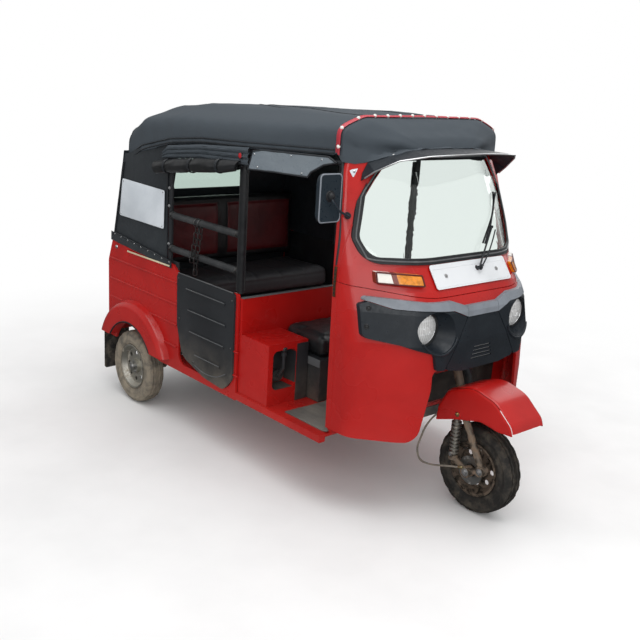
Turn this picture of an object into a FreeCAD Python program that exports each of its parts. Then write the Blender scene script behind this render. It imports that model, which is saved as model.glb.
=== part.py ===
import FreeCAD, Part
import math
import os

os.makedirs("parts", exist_ok=True)

# Frame: +Z up, +Y to the rear, +X to the vehicle's left, origin on the ground
# below the middle of the vehicle. All sizes in millimetres.

# Wheels and axles
wheelbase = 2000.0
rear_axle_y = 940.0
front_axle_y = rear_axle_y - wheelbase
wheel_radius = 205.0
tyre_width = 104.0
rim_radius = 112.0
rim_width = 84.0
rim_wall = 5.0
hub_radius = 42.0
axle_radius = 12.0
wheel_face_x = 636.0
rear_wheel_x = wheel_face_x - tyre_width / 2
running_gap = 0.3
seat_gap = 0.3

# Body shell
body_half = 600.0
wall = 12.0
ground_clear = 325.0
floor_top = 345.0
toe_top = 820.0
rear_face_y = 1250.0
tail_bend = 762.0
tail_lean = 50.0
side_top_front = 866.0
side_top_rear = 890.0
post_b_y = 0.0
post_c_y = 625.0

# Front cowl
cowl_rear_y = -622.0
cowl_bottom = 370.0
seam_z = 991.0
seam_y = -943.0
seam_rise = 0.15
seam_gap = 3.0
screen_top = 1605.0
cowl_wall = 12.0
cowl_tuck = 36.0
arch_top = 690.0
arch_half_top = 291.0
arch_half_bottom = 332.0
arch_corner = 70.0
frame_corner = 46.0

# Windscreen
glass_bottom = 1134.0
glass_top = 1548.0
glass_half_bottom = 472.0
glass_half_mid = 504.0
glass_half_top = 412.0
glass_widest = 90.0
glass_corner = 70.0
rubber_width = 26.0
rubber_proud = 7.0
glass_thickness = 6.0

# Steering and fork
rake = math.radians(22.0)
steer_low = 430.0
steer_y_at_low = -955.0
stem_radius = 20.0
head_radius = 31.0
head_low = 622.0
head_high = 810.0
fork_half = 82.0
fork_tube = 16.0
fender_half = 112.0
fender_wall = 4.0
spring_radius = 23.0
spring_wire = 4.5
spring_turns = 9
damper_radius = 13.0
bar_half = 300.0
grip_start = 176.0
grip_back = 180.0
bar_radius = 11.0
grip_radius = 17.0

# Hood
bow_radius = 12.5
skin = 7.0
hood_front_y = -682.0
hood_rear_y = 1084.0

# Side bars, door panel and chain
bar_upper_z = 1120.0
bar_lower_z = 945.0
sleeve_radius = 15.0
bar_x = -body_half + 16.0
door_front_y = 6.0
door_rear_y = 512.0
door_top = 840.0
door_bottom = 345.0
door_skin = 10.0
rib_depth = 6.0
rib_half = 7.0
link_length = 40.0
link_width = 28.0
link_wire = 5.0
link_corner = 1.5
chain_x = bar_x - 3.0
chain_step = 5.4
chain_ring = 22.0
ring_wire = 2.4

# Rear suspension, engine and hatch
arm_pivot_y = 560.0
arm_pivot_z = 300.0
engine_half = 200.0
hatch_half = 350.0
hatch_low = 400.0
hatch_high = 700.0
hatch_gap = 4.0
hinge_radius = 7.0

# Fixing points
tow_y = 1277.0
tow_z = 305.0
tow_radius = 11.0
plate_hole_z = 360.0
plate_hole_radius = 3.5
plate_hole_spacing = 180.0


def vec(x, y, z):
    return FreeCAD.Vector(x, y, z)


def box(x0, x1, y0, y1, z0, z1):
    """Box between two corners, given as low and high values per axis."""
    return Part.makeBox(x1 - x0, y1 - y0, z1 - z0, vec(x0, y0, z0))


def rod(start, end, radius):
    """Round bar between two points."""
    a = vec(*start)
    b = vec(*end)
    return Part.makeCylinder(radius, (b - a).Length, a, b - a)


def ring_bar(start, end, radius, bore):
    """Round tube between two points."""
    a = vec(*start)
    b = vec(*end)
    return rod(start, end, radius).cut(Part.makeCylinder(bore, (b - a).Length, a, b - a))


def corner_arc(before, point, after, radius):
    """The tangent arc that rounds one corner, as start, middle and end points."""
    u = (before - point).normalize()
    v = (after - point).normalize()
    half = math.acos(max(-1.0, min(1.0, u.dot(v)))) / 2
    reach = radius / math.tan(half)
    middle = (u + v).normalize()
    distance = radius / math.sin(half)
    return point + u * reach, point + middle * (distance - radius), point + v * reach


def path(points, radii, closed):
    """A wire of straight runs with tangent arcs at the corners that have a radius."""
    pts = [vec(*p) for p in points]
    count = len(pts)
    corners = []
    for i, point in enumerate(pts):
        end = not closed and i in (0, count - 1)
        if end or radii[i] <= 0:
            corners.append((point, None, point))
        else:
            corners.append(corner_arc(pts[i - 1], point, pts[(i + 1) % count], radii[i]))
    edges = []
    for i, (start, middle, stop) in enumerate(corners):
        if middle is not None:
            edges.append(Part.Arc(start, middle, stop).toShape())
        if i + 1 < count or closed:
            following = corners[(i + 1) % count][0]
            if (following - stop).Length > 1e-6:
                edges.append(Part.LineSegment(stop, following).toShape())
    return Part.Wire(edges)


def even(radius, count):
    return [radius] * count


def slab(points, radii, direction):
    """A flat outline with rounded corners, extruded along a direction."""
    if not isinstance(radii, (list, tuple)):
        radii = even(radii, len(points))
    return Part.Face(path(points, radii, True)).extrude(vec(*direction))


def pipe(points, bend, radius):
    """Round bar along straight runs joined by tangent arcs."""
    wire = path(points, even(bend, len(points)), False)
    a = vec(*points[0])
    b = vec(*points[1])
    profile = Part.Wire([Part.makeCircle(radius, a, b - a)])
    return wire.makePipeShell([profile], True, True)


def mirrored(shape):
    return shape.mirror(vec(0, 0, 0), vec(1, 0, 0))


def both(shape):
    """The shape and its twin on the other side of the vehicle."""
    return [shape, mirrored(shape)]


def fuse(shapes):
    return shapes[0].multiFuse(shapes[1:]).removeSplitter()


def save(node, shapes):
    """Write one node's solids."""
    if not isinstance(shapes, (list, tuple)):
        shapes = [shapes]
    solids = [solid for shape in shapes for solid in shape.Solids]
    for solid in solids:
        if not solid.isValid():
            print("invalid solid in", node)
    Part.makeCompound(solids).exportStep("parts/" + node + ".step")


def steer_y(z):
    """Y of the steering axis at a height."""
    return steer_y_at_low + (z - steer_low) * math.tan(rake)


def steer_point(z, x=0.0, ahead=0.0):
    """A point beside the steering axis, moved ahead square to it."""
    return (x, steer_y(z) - ahead * math.cos(rake), z + ahead * math.sin(rake))


# Front shell: plan sections from low to high
# columns: height, how far the side lies inside the widest line, where the corner starts (y),
# where it ends (x), front (y), how far the rear edge leans back
cowl_rows = [
    (cowl_bottom, 12.0, -760.0, 360.0, -978.0, 0.0),
    (600.0, 7.0, -750.0, 350.0, -988.0, 0.0),
    (800.0, 4.0, -735.0, 335.0, -988.0, 0.0),
    (930.0, 2.0, -705.0, 315.0, -972.0, 0.0),
    (1015.0, 0.0, -682.0, 298.0, -932.0, 0.0),
    (1110.0, 2.0, -668.0, 282.0, -866.0, 4.0),
    (1300.0, 24.0, -620.0, 266.0, -792.0, 25.0),
    (1480.0, 62.0, -586.0, 250.0, -706.0, 50.0),
    (screen_top, 96.0, -574.0, 232.0, -655.0, 62.0),
]
cowl_half = body_half - cowl_tuck
cowl_sections = [(row[0], cowl_half - row[1]) + row[2:] for row in cowl_rows]
side_corner = 110.0
front_corner = 240.0


def cowl_at(z):
    """The section row at a height, between the two rows that hold it."""
    for low, high in zip(cowl_sections, cowl_sections[1:]):
        if low[0] <= z <= high[0]:
            t = (z - low[0]) / (high[0] - low[0])
            return [a + (b - a) * t for a, b in zip(low, high)]
    return list(cowl_sections[-1])


def cowl_rear(z):
    """Y of the shell's rear edge at a height."""
    return cowl_rear_y + cowl_at(z)[5]


def cowl_wire(row, inset, rear):
    """One plan section as a closed wire, drawn in by the inset."""
    z, half, start_y, end_x, front, lean = row
    rear = rear + lean
    w = half - inset
    f = front + inset
    a = start_y + inset * 0.4
    x = end_x - inset * 0.4
    pts = [(-w, rear, z), (-w, a, z), (-x, f, z), (x, f, z), (w, a, z), (w, rear, z)]
    turn = math.atan2(w - x, a - f)
    side = min(side_corner, (rear - a - 2.0) / math.tan(turn / 2))
    corner = min(front_corner, x * 0.9 / math.tan((math.pi / 2 - turn) / 2))
    return path(pts, [0, side, corner, corner, side, 0], True)


def cowl_solid(low, high, inset, rear):
    """Solid between two heights, inside the shell's outer face by the inset."""
    rows = [cowl_at(low)]
    rows += [row for row in cowl_sections if low < row[0] < high]
    rows += [cowl_at(high)]
    return Part.makeLoft([cowl_wire(row, inset, rear) for row in rows], True, True)


def cowl_shell(low, high, thickness):
    """The wrapped wall between two heights, open at the rear."""
    outer = cowl_solid(low, high, 0.0, cowl_rear_y)
    inner = cowl_solid(low, high, thickness, cowl_rear_y + 1.0)
    return outer.cut(inner)


def seam_line(y):
    """Height of the seam between the two shells, which rises to the rear."""
    return seam_z + seam_rise * (y - seam_y)


def above_seam(gap):
    """Everything of the shell that lies above the seam by a gap."""
    near = -1100.0
    far = -400.0
    return slab(
        [
            (-body_half, near, seam_line(near) + gap),
            (-body_half, far, seam_line(far) + gap),
            (-body_half, far, 1800.0),
            (-body_half, near, 1800.0),
        ],
        0,
        (2 * body_half, 0, 0),
    )


def screen_outline(grow):
    """Windscreen outline seen from the front, as points on the plane y = 0."""
    return [
        (-glass_half_bottom - grow, 0, glass_bottom - grow),
        (glass_half_bottom + grow, 0, glass_bottom - grow),
        (glass_half_mid + grow, 0, glass_bottom + glass_widest),
        (glass_half_top + grow, 0, glass_top + grow),
        (-glass_half_top - grow, 0, glass_top + grow),
        (-glass_half_mid - grow, 0, glass_bottom + glass_widest),
    ]


def screen_prism(grow):
    """The windscreen outline run through the front of the shell."""
    pts = [(x, cowl_rear_y - 20.0, z) for x, y, z in screen_outline(grow)]
    radii = [glass_corner + grow, glass_corner + grow, 60.0]
    radii += [glass_corner + grow, glass_corner + grow, 60.0]
    return slab(pts, radii, (0, -400, 0))


def make_front_cowl():
    """Red lower shell with the open front wheel arch."""
    shell = cowl_shell(cowl_bottom, 1150.0, cowl_wall).cut(above_seam(0.0))
    foot = cowl_bottom - 1.0
    outer = arch_half_bottom + 2 * arch_corner
    half = [
        (-outer, foot - 20, 0),
        (-outer, foot, 0),
        (-arch_half_bottom, foot, arch_corner),
        (-arch_half_top, cowl_bottom + 237, 150),
        (-arch_half_top, arch_top, 30),
    ]
    rows = half + [(-x, z, r) for x, z, r in reversed(half)]
    arch = slab([(x, -1100, z) for x, z, r in rows], [r for x, z, r in rows], (0, 400, 0))
    shell = shell.cut(arch)
    for socket in both(lamp_socket(bucket_wall + seat_gap)):
        shell = shell.cut(socket)
    lamp_room = rod((-lamp_x, lamp_face_y, lamp_z), (-lamp_x, -840, lamp_z), lamp_radius + bucket_wall + 2.0)
    for room in both(lamp_room):
        shell = shell.cut(room)
    save("front_cowl", shell)


def make_windscreen():
    """Red upper shell, its glass and the rubber that holds it."""
    shell = cowl_shell(920.0, screen_top, cowl_wall).common(above_seam(seam_gap))
    shell = shell.cut(screen_prism(0.0))
    top = cowl_sections[-1][1]
    drop = screen_top - 70.0
    crown = slab(
        [
            (-body_half, -1100, 900),
            (body_half, -1100, 900),
            (body_half, -1100, drop - 60),
            (top + 20, -1100, drop),
            (top - 50, -1100, screen_top + 1),
            (50 - top, -1100, screen_top + 1),
            (-20 - top, -1100, drop),
            (-body_half, -1100, drop - 60),
        ],
        [0, 0, 0, frame_corner, frame_corner, frame_corner, frame_corner, 0],
        (0, 700, 0),
    )
    save("windscreen_frame", shell.common(crown))
    low = glass_bottom - 60.0
    high = min(glass_top + 60.0, screen_top)
    skin_out = cowl_solid(low, high, -rubber_proud, cowl_rear_y)
    skin_in = cowl_solid(low, high, -seat_gap, cowl_rear_y + 1.0)
    band = skin_out.cut(skin_in)
    ring = band.common(screen_prism(rubber_width / 2)).cut(screen_prism(-rubber_width / 2))
    save("windscreen_rubber", ring)
    mid = cowl_wall / 2
    out = cowl_solid(low, high, mid - glass_thickness / 2, cowl_rear_y)
    inn = cowl_solid(low, high, mid + glass_thickness / 2, cowl_rear_y + 1.0)
    save("windscreen_glass", out.cut(inn).common(screen_prism(-seat_gap)))


# Sun visor: from the middle to the right end
# columns: root (x, y, z) on the screen frame, lip (x, y, z)
visor_rows = [
    ((0.0, -664.0, 1585.0), (0.0, -900.0, 1585.0)),
    ((150.0, -664.0, 1584.0), (150.0, -892.0, 1581.0)),
    ((240.0, -656.0, 1580.0), (280.0, -850.0, 1572.0)),
    ((340.0, -612.0, 1562.0), (380.0, -775.0, 1548.0)),
    ((398.0, -592.0, 1540.0), (434.0, -690.0, 1496.0)),
    ((432.0, -598.0, 1500.0), (446.0, -646.0, 1464.0)),
    ((444.0, -606.0, 1462.0), (450.0, -624.0, 1448.0)),
]
visor_wall = 4.0


def visor_rib(root, lip, side):
    """One cross section of the visor, as a closed wire from root to lip."""
    a = vec(side * root[0], root[1] + 8, root[2])
    b = vec(side * lip[0], lip[1], lip[2])
    under = vec(-side * root[0] / 700.0, 0.45, -1.0).normalize() * visor_wall
    return Part.makePolygon([a, b, b + under, a + under, a])


def make_visor():
    """Curved shade above the windscreen."""
    ribs = [visor_rib(root, lip, -1) for root, lip in reversed(visor_rows)]
    ribs += [visor_rib(root, lip, 1) for root, lip in visor_rows[1:]]
    shade = Part.makeLoft(ribs, True, True)
    cab = cowl_solid(1400.0, screen_top, -seat_gap - rubber_proud, cowl_rear_y + 60.0)
    hood = hood_solid(-seat_gap, 4.0, hood_sections)
    save("sun_visor", shade.cut(cab).cut(hood))


# Headlamp panels
lamp_x = 300.0
lamp_z = 860.0
lamp_radius = 70.0
lamp_face_y = -926.0
lamp_depth = 42.0
panel_proud = 14.0
bucket_wall = 4.0
bucket_open = 96.0
bucket_shift = 34.0


def lamp_socket(grow):
    """The sunk bowl round the right headlamp, wider and nearer the middle at its mouth."""
    back = vec(-lamp_x, lamp_face_y + 2.0, lamp_z)
    mouth = vec(-lamp_x + bucket_shift, lamp_face_y - 90.0, lamp_z)
    aim = vec(0, 1, 0)
    rings = [
        Part.Wire([Part.makeCircle(lamp_radius + grow, back, aim)]),
        Part.Wire([Part.makeCircle(bucket_open + grow, mouth, aim)]),
    ]
    return Part.makeLoft(rings, True, True)


def front_band(low, high, inner, outer):
    """A band that follows the shell's face between two heights."""
    out = cowl_solid(low, high, -outer, cowl_rear_y)
    inn = cowl_solid(low, high, -inner, cowl_rear_y + 1.0)
    return out.cut(inn)


def make_headlamp_panels():
    """Two black lamp panels with their sunk bowls, and the slotted nose panel between them."""
    band = front_band(640.0, 1000.0, seat_gap, panel_proud)
    # columns: x, height, corner radius
    outline = [
        (-528, 823, 22),
        (-425, 804, 60),
        (-374, 787, 60),
        (-300, 765, 24),
        (-286, 694, 12),
        (-238, 690, 5),
        (-107, 905, 4),
        (-188, 938, 30),
        (-309, 946, 0),
        (-432, 948, 60),
        (-500, 972, 8),
        (-528, 960, 16),
    ]
    side = slab([(x, -1100, z) for x, z, r in outline], [r for x, z, r in outline], (0, 470, 0))
    side = band.common(side).cut(lamp_socket(bucket_wall / 2))
    bucket = lamp_socket(bucket_wall).cut(lamp_socket(0.0))
    bucket = bucket.common(cowl_solid(640.0, 1000.0, -panel_proud, cowl_rear_y))
    side = fuse([side, bucket])
    # columns: x, height, corner radius
    half = [(-234, 690, 16), (-130, 670, 30)]
    top = [(103, 905, 4), (-103, 905, 4)]
    rows = half + [(-x, z, r) for x, z, r in reversed(half)] + top
    nose = slab([(x, -1100, z) for x, z, r in rows], [r for x, z, r in rows], (0, 400, 0))
    nose = band.common(nose)
    slot_half = 70.0
    for k in range(4):
        z = 712.0 + 17.0 * k
        cut = box(-slot_half + 5 * k, slot_half - 5 * k, -1100, -900, z, z + 6)
        nose = nose.cut(cut.common(front_band(640.0, 985.0, 6.0, 60.0)))
    save("headlamp_panels", both(side) + [nose])


def make_brow_trim():
    """Grey strip along the top edge of the lamp panels."""
    band = front_band(880.0, 1010.0, seat_gap, panel_proud + 4.0)
    # columns: x, height, corner radius
    outline = [
        (-520, 976, 6),
        (-500, 975, 0),
        (-432, 951, 60),
        (-309, 949, 0),
        (-188, 941, 30),
        (-104, 907, 0),
        (-104, 952, 0),
        (-190, 980, 30),
        (-300, 980, 0),
        (-403, 988, 0),
        (-503, 993, 12),
    ]
    wing = slab([(x, -1100, z) for x, z, r in outline], [r for x, z, r in outline], (0, 470, 0))
    middle = slab(
        [(-102, -1100, 907), (102, -1100, 907), (102, -1100, 952), (-102, -1100, 952)],
        [0, 0, 0, 0],
        (0, 400, 0),
    )
    save("brow_trim", both(band.common(wing)) + [band.common(middle)])


def make_headlamps():
    """Round headlamps at the bottom of their bowls: housing and domed lens in one body each."""
    back_y = lamp_face_y + lamp_depth
    radius = lamp_radius - seat_gap
    housing = rod((-lamp_x, back_y, lamp_z), (-lamp_x, lamp_face_y, lamp_z), radius)
    dome_r = 190.0
    dome = Part.makeSphere(dome_r, vec(-lamp_x, lamp_face_y - 13 + dome_r, lamp_z))
    keep = rod((-lamp_x, lamp_face_y, lamp_z), (-lamp_x, lamp_face_y - 60, lamp_z), lamp_radius - 5)
    save("headlamps", both(fuse([housing, dome.common(keep)])))


def make_front_indicators():
    """Flat turn lamps above the seam."""
    band = front_band(1015.0, 1120.0, seat_gap, 16.0)
    shape = slab(
        [(-466, -1100, 1045), (-302, -1100, 1040), (-298, -1100, 1086), (-462, -1100, 1094)],
        8.0,
        (0, 470, 0),
    )
    save("front_indicators", both(band.common(shape)))


wiper_foot = (45.0, -884.0, 1086.0)
spindle_radius = 8.0


def make_front_plate():
    """Blank number plate on two stand-offs, leaning back with the shell."""
    lean = math.radians(35.0)
    plate_half = 250.0
    plate_height = 112.0
    y0 = -931.0
    z0 = 1026.0
    dy = math.sin(lean) * plate_height
    dz = math.cos(lean) * plate_height
    plate = slab(
        [
            (-plate_half, y0, z0),
            (plate_half, y0, z0),
            (plate_half, y0 + dy, z0 + dz),
            (-plate_half, y0 + dy, z0 + dz),
        ],
        12.0,
        (0, -2.4 * math.cos(lean), 2.4 * math.sin(lean)),
    )
    cab = cowl_solid(950.0, 1200.0, -seat_gap, cowl_rear_y)
    plate = plate.cut(cab)
    x, y, z = wiper_foot
    plate = plate.cut(rod((x, y + 40, z - 9), (x, y - 60, z + 12), spindle_radius + 3.0))
    pegs = []
    for x in (-170.0, 170.0):
        mid = vec(x, y0 + dy / 2, z0 + dz / 2)
        back = mid + vec(0, math.cos(lean), -math.sin(lean)) * 60.0
        pegs.append(rod(tuple(mid), tuple(back), 9.0).cut(cab))
    save("front_plate", fuse([plate] + pegs))


def make_wiper():
    """Single wiper that rests on the left of the windscreen."""
    foot = wiper_foot
    joint = (190.0, 1250.0)
    tip = (320.0, 1385.0)
    heel = (130.0, 1182.0)
    off = rubber_proud + 10.0
    cab = cowl_solid(950.0, 1400.0, -seat_gap, cowl_rear_y)

    def face(x, z, ahead):
        """A point ahead of the screen at a width and a height."""
        row = cowl_at(z)
        slant = (row[4] - row[2]) / (row[1] - row[3])
        y = row[4] - max(0.0, x - row[3]) * slant
        return (x, y - ahead, z)

    hub = rod((foot[0], foot[1] + 26, foot[2] - 6), (foot[0], foot[1] - 26, foot[2] + 5), spindle_radius)
    elbow = (foot[0], foot[1] - 22, foot[2] + 4)
    arm = pipe([elbow, face(90.0, 1140.0, off + 12), face(*joint, off + 8)], 60.0, 4.0)
    blade = pipe([face(*heel, off), face(*joint, off), face(*tip, off)], 300.0, 4.0)
    pin = rod(face(*joint, off + 12), face(*joint, off - 3), 6.0)
    save("wiper", fuse([hub.cut(cab), arm, pin, blade]))


def make_mirror():
    """Rear-view mirror on a bent arm at the right screen pillar."""
    base = vec(-518.0, -634.0, 1310.0)
    out = vec(-0.539, -0.842, 0.0)
    head_y = -635.0
    ball = (-622.0, 1394.0)
    cab = cowl_solid(950.0, screen_top, -seat_gap, cowl_rear_y)
    foot = rod(tuple(base - out * 20), tuple(base + out * 12), 14.0)
    arm = pipe(
        [
            tuple(base + out * 6),
            tuple(base + out * 34),
            (-590.0, head_y - 26, 1336.0),
            (ball[0], head_y - 22, ball[1] - 22),
            (ball[0], head_y - 4, ball[1]),
        ],
        12.0,
        5.0,
    )
    head = slab(
        [
            (-676, head_y, 1286),
            (-560, head_y, 1286),
            (-560, head_y, 1484),
            (-676, head_y, 1484),
        ],
        34.0,
        (0, 24, 0),
    )
    knob = rod((ball[0], head_y - 8, ball[1]), (ball[0], head_y + 4, ball[1]), 15.0)
    save("mirror", fuse([foot.cut(cab), arm, head, knob]))


def make_floor():
    """Floor plate with sills, and the toe board behind the front wheel."""
    sill = 34.0
    inside = body_half - wall - seat_gap
    step_end = post_b_y - 12 - seat_gap
    plate = box(-body_half, body_half, -640, step_end, floor_top - wall, floor_top)
    rear = box(-inside, inside, step_end, 620, floor_top - wall, floor_top)
    edges = [
        box(-body_half, -body_half + sill, -640, step_end, floor_top - 34, floor_top),
        box(body_half - sill, body_half, -640, step_end, floor_top - 34, floor_top),
        rear,
    ]
    toe_half = cowl_half - cowl_wall - 47
    toe = slab(
        [
            (-toe_half, -640, floor_top),
            (-toe_half, -760, floor_top + 90),
            (-toe_half, -772, toe_top),
            (-toe_half, -772 + wall, toe_top),
            (-toe_half, -760 + wall, floor_top + 95),
            (-toe_half, -628, floor_top),
        ],
        [0, 40, 0, 0, 40, 0],
        (2 * toe_half, 0, 0),
    )
    for s in (-1, 1):
        outer = cowl_sections[0][1] - cowl_wall - seat_gap
        x0, x1 = sorted((s * (outer - 20), s * outer))
        edges.append(box(x0, x1, -652, cowl_rear_y - 2, floor_top - 2, cowl_bottom + 15))
    tunnel = rod(steer_point(head_low - 40), steer_point(1000.0), head_radius + 8.0)
    save("floor_pan", fuse([plate] + edges + [toe.cut(tunnel)]))


def make_chassis():
    """Two rails with cross members, and the steering head on its braces in front of them."""
    rail_x = 250.0
    rail_half = 22.0
    top = floor_top - wall - seat_gap
    low = top - 56.0
    pieces = []
    for s in (-1, 1):
        x = s * rail_x
        pieces.append(box(x - rail_half, x + rail_half, -640, 1154, low, top))
    for y in (-620.0, -120.0, arm_pivot_y, 1134.0):
        pieces.append(box(-rail_x, rail_x, y - 20, y + 20, low + 6, top - 2))
    for s in (-1, 1):
        pivot = (s * (rail_x + 10), arm_pivot_y, arm_pivot_z)
        pieces.append(rod(pivot, (s * 412, arm_pivot_y, arm_pivot_z), axle_radius - running_gap))
        for y in (840.0, 1060.0):
            near = engine_half + seat_gap
            x0, x1 = sorted((s * near, s * (rail_x - rail_half + 2)))
            pieces.append(box(x0, x1, y - 20, y + 20, low + 10, top - 6))
    lug = box(-30, 30, 1140, tow_y + 23, tow_z - 10, tow_z)
    frame = fuse(pieces + [lug])
    save("chassis_frame", frame.cut(rod((0, tow_y, tow_z - 40), (0, tow_y, tow_z + 10), tow_radius)))
    head = ring_bar(steer_point(head_low), steer_point(head_high), head_radius, stem_radius + running_gap)
    bore = rod(steer_point(head_low - 100), steer_point(head_high + 100), head_radius - 2)
    braces = []
    for s in (-1, 1):
        brace = pipe(
            [
                (s * rail_x, -630, low + 28),
                (s * 222.0, -802, 400),
                (s * 160.0, -818, 560),
                (s * 24.0, steer_y(700) + 8, 700),
            ],
            50.0,
            17.0,
        )
        braces.append(brace.cut(bore).cut(frame))
    save("steering_head", fuse([head] + braces))


# Rear body
arch_center_z = 205.0
arch_radius = 258.0
flare_radius = 378.0
flare_out = 50.0
bulkhead_top = 820.0


def side_profile():
    """Outline of a rear side panel in the plane across X, with corner radii."""
    return [
        (post_b_y - 12, ground_clear - 20, 0),
        (post_b_y - 12, door_top, 14),
        (post_b_y + 26, door_top, 0),
        (post_b_y + 26, floor_top + 6, 50),
        (post_c_y - 122, floor_top + 6, 50),
        (post_c_y - 122, door_top - 20, 20),
        (post_c_y - 60, side_top_front, 40),
        (post_c_y, side_top_front + 6, 0),
        (rear_face_y - tail_lean - seat_gap, side_top_rear, 0),
        (rear_face_y - seat_gap, tail_bend, 70),
        (rear_face_y - seat_gap, ground_clear + 40, 0),
        (rear_face_y - 14, ground_clear - 10, 20),
        (post_c_y + 60, ground_clear - 20, 0),
    ]


def side_rib(y0, y1, z):
    """Pressed line that stands out of a side panel."""
    x = -body_half
    return rod((x, y0, z), (x, y1, z), 4.0).fuse(Part.makeSphere(4.0, vec(x, y0, z)))


def side_panel():
    rows = side_profile()
    pts = [(-body_half, y, z) for y, z, r in rows]
    panel = slab(pts, [r for y, z, r in rows], (wall, 0, 0))
    wheel = Part.makeCylinder(
        arch_radius, 60, vec(-body_half - 20, rear_axle_y, arch_center_z), vec(1, 0, 0)
    )
    panel = panel.cut(wheel)
    # columns: rear end (y), front end (y), height
    ribs = [(1205, 530, 780), (1222, 530, 662), (1232, 530, 552), (660, 530, 432)]
    for y0, y1, z in ribs:
        panel = panel.fuse(side_rib(y0, y1, z))
    for z in (552, 432):
        panel = panel.fuse(rod((-body_half, -8, z), (-body_half, 2, z), 4.0))
    flare_cut = Part.makeCylinder(
        flare_radius + 0.4, 30, vec(-body_half - 30, rear_axle_y, arch_center_z), vec(1, 0, 0)
    )
    return panel.cut(flare_cut)


def rear_fender():
    """Half-round flare over a rear wheel, revolved about the axle."""
    x = -body_half - seat_gap
    profile = path(
        [
            (x, 0, arch_radius),
            (x - flare_out, 0, arch_radius),
            (x - flare_out, 0, flare_radius - 16),
            (x, 0, flare_radius),
            (x, 0, flare_radius - 8),
            (x - flare_out + 8, 0, flare_radius - 26),
            (x - flare_out + 8, 0, arch_radius + 6),
            (x, 0, arch_radius + 6),
        ],
        [0, 4, 34, 0, 0, 26, 0, 0],
        True,
    )
    profile.translate(vec(0, rear_axle_y, arch_center_z))
    turn = Part.Face(profile).revolve(vec(0, rear_axle_y, arch_center_z), vec(1, 0, 0), 360)
    keep = box(x - flare_out - 10, x + 10, rear_axle_y - 400, rear_face_y + 20, ground_clear + 18, 700)
    return turn.common(keep)


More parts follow.
